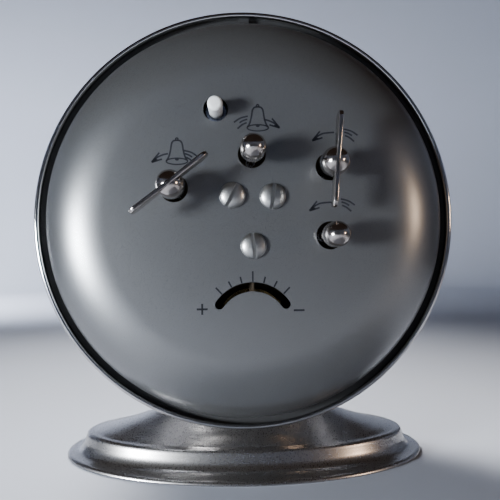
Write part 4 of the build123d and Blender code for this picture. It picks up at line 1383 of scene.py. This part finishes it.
# ---------------------------------------------------------------- dial side
@dataclass(frozen=True)
class Ticks:
    """A ring of printed marks.

    Args:
        count: the number of marks.
        radius: the radius of their middles.
        length: their length outwards.
        width: their width.
    """

    count: int
    radius: float
    length: float
    width: float


@dataclass(frozen=True)
class Inlay:
    """A pale strip along the front of a hand.

    Args:
        node: the hand.
        body: the body that it moves with.
        start: where it begins.
        reach: how far out it goes.
        width: its width.
    """

    node: str
    body: str
    start: float
    reach: float
    width: float


@dataclass
class Dial:
    """The print on the dial and the pale inlays on the hands."""

    bench: Bench
    bars: BarRing
    rings: tuple[Ticks, ...] = (
        Ticks(60, 46.4, 1.8, 0.32),
        Ticks(12, 45.95, 2.7, 0.95),
        Ticks(48, 20.0, 1.0, 0.22),
        Ticks(12, 19.6, 1.8, 0.36),
    )
    circles: tuple[float, ...] = (47.3, 45.5, 20.5)
    circle_half: float = 0.12
    numeral_radius: float = 38.0
    numeral_size: float = 10.5
    numeral_smooth: int = 4
    lift: float = 0.002
    print_height: float = 0.03
    inlays: tuple[Inlay, ...] = (
        Inlay("minute_hand", "minute", 13.0, 30.0, 1.1),
        Inlay("hour_hand", "hour", 9.0, 20.0, 1.5),
    )
    inlay_tip: float = 1.2
    inlay_height: float = 0.06

    def build(self) -> None:
        """Builds the minute track, the alarm ring, the numerals and the inlays."""
        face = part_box("dial")[0].y
        matrix = self.bench.front(face) @ Matrix.Translation((0, 0, self.print_height / 2 + self.lift))
        marks = [self._ring(matrix, ticks) for ticks in self.rings]
        marks += [self._circle(matrix, radius) for radius in self.circles]
        finished("dial_print", joined(marks), DIAL_INK, "case")
        numerals = [self._numeral(matrix, hour) for hour in range(1, 13)]
        finished("dial_numerals", joined(numerals), DIAL_INK, "case")
        for inlay in self.inlays:
            self._inlay(inlay)

    def _ring(self, matrix: Matrix, ticks: Ticks) -> bpy.types.Mesh:
        """Makes a ring of printed marks.

        Args:
            matrix: the frame of the dial's face.
            ticks: the marks.

        Returns:
            The mesh of the marks.
        """
        sizes = {"Radius": ticks.radius, "Start": 0.0, "Step": math.tau / ticks.count}
        sizes |= {"Length": ticks.length, "Width": ticks.width, "Height": self.print_height}
        return self.bars.mesh(matrix, DIAL_INK, ticks.count, **sizes)

    def _circle(self, matrix: Matrix, radius: float) -> bpy.types.Mesh:
        """Makes a thin printed circle.

        Args:
            matrix: the frame of the dial's face.
            radius: the circle's radius.

        Returns:
            The mesh of the circle.
        """
        half, inner, outer = self.print_height / 2, radius - self.circle_half, radius + self.circle_half
        profile = [(inner, -half), (outer, -half), (outer, half), (inner, half)]
        return baked(lathe(profile, segments=160), matrix)

    def _numeral(self, matrix: Matrix, hour: int) -> bpy.types.Mesh:
        """Makes one upright numeral of the dial.

        Args:
            matrix: the frame of the dial's face.
            hour: the hour that it names.

        Returns:
            The mesh of the numeral, in its place.
        """
        text = bpy.data.curves.new("numeral", "FONT")
        text.body = str(hour)
        text.size = self.numeral_size
        text.align_x, text.align_y = "CENTER", "CENTER"
        text.extrude = self.print_height / 2
        text.resolution_u = self.numeral_smooth
        holder = held("numeral", text)
        mesh = evaluated(holder)
        bpy.data.objects.remove(holder)
        angle = math.tau / 4 - math.tau / 12 * hour
        place = (self.numeral_radius * math.cos(angle), self.numeral_radius * math.sin(angle), 0)
        mesh.transform(matrix @ Matrix.Translation(place))
        return mesh

    def _inlay(self, inlay: Inlay) -> None:
        """Lays a strip on a hand, along the way that the hand points.

        Args:
            inlay: the strip.
        """
        tip = max((v.co for v in bpy.data.objects[inlay.node].data.vertices), key=self._distance)
        angle = math.atan2(tip.z - self.bench.centre.z, tip.x - self.bench.centre.x)
        start, end, half, slim = inlay.start, inlay.reach, inlay.width / 2, inlay.width / 3
        outline = [(start, -half), (end, -slim), (end + self.inlay_tip, 0.0), (end, slim), (start, half)]
        matrix = self.bench.front(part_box(inlay.node)[0].y) @ Matrix.Rotation(angle, 4, "Z")
        mesh = baked(prism(outline, 0.0, self.inlay_height), matrix)
        finished(inlay.node + "_inlay", mesh, GLOW_PAINT, inlay.body)

    def _distance(self, corner: Vector) -> float:
        """How far a corner is from the case axis."""
        return math.hypot(corner.x - self.bench.centre.x, corner.z - self.bench.centre.z)


# ---------------------------------------------------------------- pieces that keep their own shape
@dataclass
class Movement:
    """The movement, the dial and the small fittings, which only get a finish."""

    nodes: dict[str, bpy.types.Object]

    def dress(self) -> None:
        """Gives every piece its finish."""
        brass = "spring_barrel barrel_lid second_wheel centre_wheel third_wheel fourth_wheel escape_wheel"
        brass += " balance cannon_pinion minute_wheel hour_wheel alarm_wheel alarm_great_wheel star_wheel"
        self._give(BRASS_WHEEL, brass + " pillars")
        self._give(BRASS, "front_plate")
        # the rear plate, balance cock and regulator carry painted shade: dark brass for the inside seen
        # through the slot
        self._give(BRASS_DARKENED_AS_SHADE, "rear_plate balance_cock regulator")
        steel = "time_winding_arbor alarm_winding_arbor time_set_arbor alarm_set_arbor second_stud"
        self._give(STEEL, steel + " minute_stud pallet_lever hammer click alarm_click cover_posts")
        # the stop plunger gets the dark blued steel as painted shade in the button's hole
        self._give(BLUED_STEEL_AND_SHADE, "time_mainspring alarm_mainspring hairspring stop_plunger")
        self._give(ZINC, "pillar_nuts foot_screw foot_clamp")
        # the dust plate is near-black as painted shade in the gap round the back cover
        self._give(BLACK_AS_PAINTED_SHADE, "dust_plate")
        self._give(DIAL_PAINT, "dial")
        self._give(SURROUND_PAINT, "dial_surround")
        self._give(HAND_BLACK, "minute_hand hour_hand")
        self._give(HAND_RED, "alarm_hand")

    def _give(self, finish: Finish, names: str) -> None:
        """Dresses some nodes.

        Args:
            finish: their finish.
            names: their names, with spaces between.
        """
        for name in names.split():
            for socket in self.nodes[name].material_slots:
                socket.material = finish.material()
            LOG.info("%s: %s", name, finish.name)


# ---------------------------------------------------------------- stage
PAPER = Finish(
    "pale_paper", (0.50, 0.535, 0.62), (0.485, 0.52, 0.60),
    roughness=0.9, grain_size=0.6, cloud_size=60.0, level=0.1,
)


@dataclass(frozen=True)
class SoftLight:
    """A rectangular lamp. Places and sizes are in metres.

    Args:
        name: its name.
        place: where it hangs.
        aim: the place that it faces.
        size: its width and height.
        power: its power, in watts.
        colour: its colour.
        spread: how wide its beam is, in degrees.
        mirrored: whether shiny things show it.
    """

    name: str
    place: Sequence[float]
    aim: Sequence[float]
    size: Point2
    power: float
    colour: Colour
    spread: float = 180.0
    mirrored: bool = True

    def hang(self) -> None:
        """Puts the lamp into the scene."""
        lamp = bpy.data.lights.new(self.name, "AREA")
        lamp.shape = "RECTANGLE"
        lamp.size, lamp.size_y = self.size
        lamp.energy = self.power
        lamp.color = self.colour
        lamp.spread = math.radians(self.spread)
        holder = held(self.name, lamp)
        holder.location = self.place
        holder.rotation_euler = (Vector(self.aim) - Vector(self.place)).to_track_quat("-Z", "Y").to_euler()
        holder.visible_glossy = self.mirrored


@dataclass
class Stage:
    """The pale sweep that the clock stands on, the lights, and the camera. Sizes are in metres."""

    bench: Bench
    reach: float = 1.2
    tall: float = 0.75
    fillet: float = 0.4
    fillet_steps: int = 24
    fillet_ease: float = 1.5  # over 1, the first steps of the fillet are the finest
    floor_margin: float = 0.1
    segments: int = 96
    low_air: Colour = (0.20, 0.205, 0.22)
    high_air: Colour = (0.10, 0.072, 0.06)
    high_from: float = 0.7
    air_strength: float = 0.3
    lens: float = 39.1
    near_clip: float = 0.01
    camera_place: tuple[float, float, float] = (3.28, 145.0, -9.08)  # aside, behind, over the middle, in mm
    camera_turn: tuple[float, float, float] = (90.45, 0.4, 178.22)  # in degrees

    def build(self) -> None:
        """Builds the sweep, the lights, the surroundings and the camera."""
        self._sweep()
        clock, backdrop = tuple(self.bench.centre), (0.30, -1.1, 0.05)
        pale, white = (0.88, 0.94, 1.0), (1.0, 0.97, 0.93)
        lights = (
            SoftLight("window", (0.30, 0.265, 0.045), clock, (0.08, 0.075), 4.1, pale),
            SoftLight("lamp", (-0.34, 0.24, 0.10), clock, (0.035, 0.05), 0.25, (1.0, 0.72, 0.5)),
            SoftLight("wash", (0.48, -0.28, 0.22), backdrop, (0.3, 0.3), 10.2, (0.90, 0.93, 1.0), 140.0),
            SoftLight("front_fill", (0.22, -0.40, 0.45), clock, (0.3, 0.3), 1.3, white, 50.0, False),
        )
        for light in lights:
            light.hang()
        self._surroundings()
        self._camera()

    def _sweep(self) -> None:
        """A round pale floor that curves up into a wall."""
        foot, size, steps = self.reach - self.fillet, self.fillet, self.fillet_steps
        eased = [math.tau / 4 * (n / steps) ** self.fillet_ease for n in range(steps + 1)]
        section = [(foot - self.floor_margin, 0.0)]
        section += [(foot + size * math.sin(a), size - size * math.cos(a)) for a in eased]
        section += [(self.reach, self.tall)]
        shape = bmesh.new()
        rows = [oval(shape, radius, radius, height, self.segments) for radius, height in section]
        shape.faces.new(rows[0])
        skin(shape, rows)
        mesh = bpy.data.meshes.new("sweep")
        shape.to_mesh(mesh)
        shape.free()
        for face in mesh.polygons:
            face.use_smooth = len(face.vertices) < self.segments
        mesh.materials.append(PAPER.material())
        held("sweep", mesh)

    def _surroundings(self) -> None:
        """The room's own light, cool and pale below and warm and dim above."""
        world = bpy.data.worlds.new("room")
        bpy.context.scene.world = world
        world.use_nodes = True
        nodes, links = world.node_tree.nodes, world.node_tree.links
        place = nodes.new("ShaderNodeTexCoord")
        split = nodes.new("ShaderNodeSeparateXYZ")
        ramp = nodes.new("ShaderNodeValToRGB")
        stops = zip(ramp.color_ramp.elements, (0.0, self.high_from), (self.low_air, self.high_air))
        for stop, position, colour in stops:
            stop.position = position
            stop.color = (*colour, 1.0)
        links.new(place.outputs["Generated"], split.inputs[0])
        links.new(split.outputs["Z"], ramp.inputs[0])
        links.new(ramp.outputs[0], nodes["Background"].inputs["Color"])
        nodes["Background"].inputs["Strength"].default_value = self.air_strength

    def _camera(self) -> None:
        """The camera, close behind the clock and a little below the middle of the case."""
        camera = held("camera", bpy.data.cameras.new("camera"))
        camera.data.lens = self.lens
        camera.data.clip_start = self.near_clip
        aside, behind, over = (value * MM for value in self.camera_place)
        camera.location = (aside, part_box("case_drum")[1].y + behind, self.bench.centre.z + over)
        camera.rotation_euler = [math.radians(angle) for angle in self.camera_turn]
        camera.rotation_mode = "XYZ"
        bpy.context.scene.camera = camera


def main() -> None:
    """Builds the clock's looks over the frame."""
    logging.basicConfig(level=logging.INFO, format="%(name)s %(message)s")
    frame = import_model()
    bench = Bench()
    bars = BarRing()
    Movement(frame["nodes"]).dress()
    Case(bench).build()
    Cover(bench, bars).build()
    Foot(bench).build()
    Controls(bench, bars).build()
    Dial(bench, bars).build()
    Stage(bench).build()


if __name__ == "__main__":
    main()
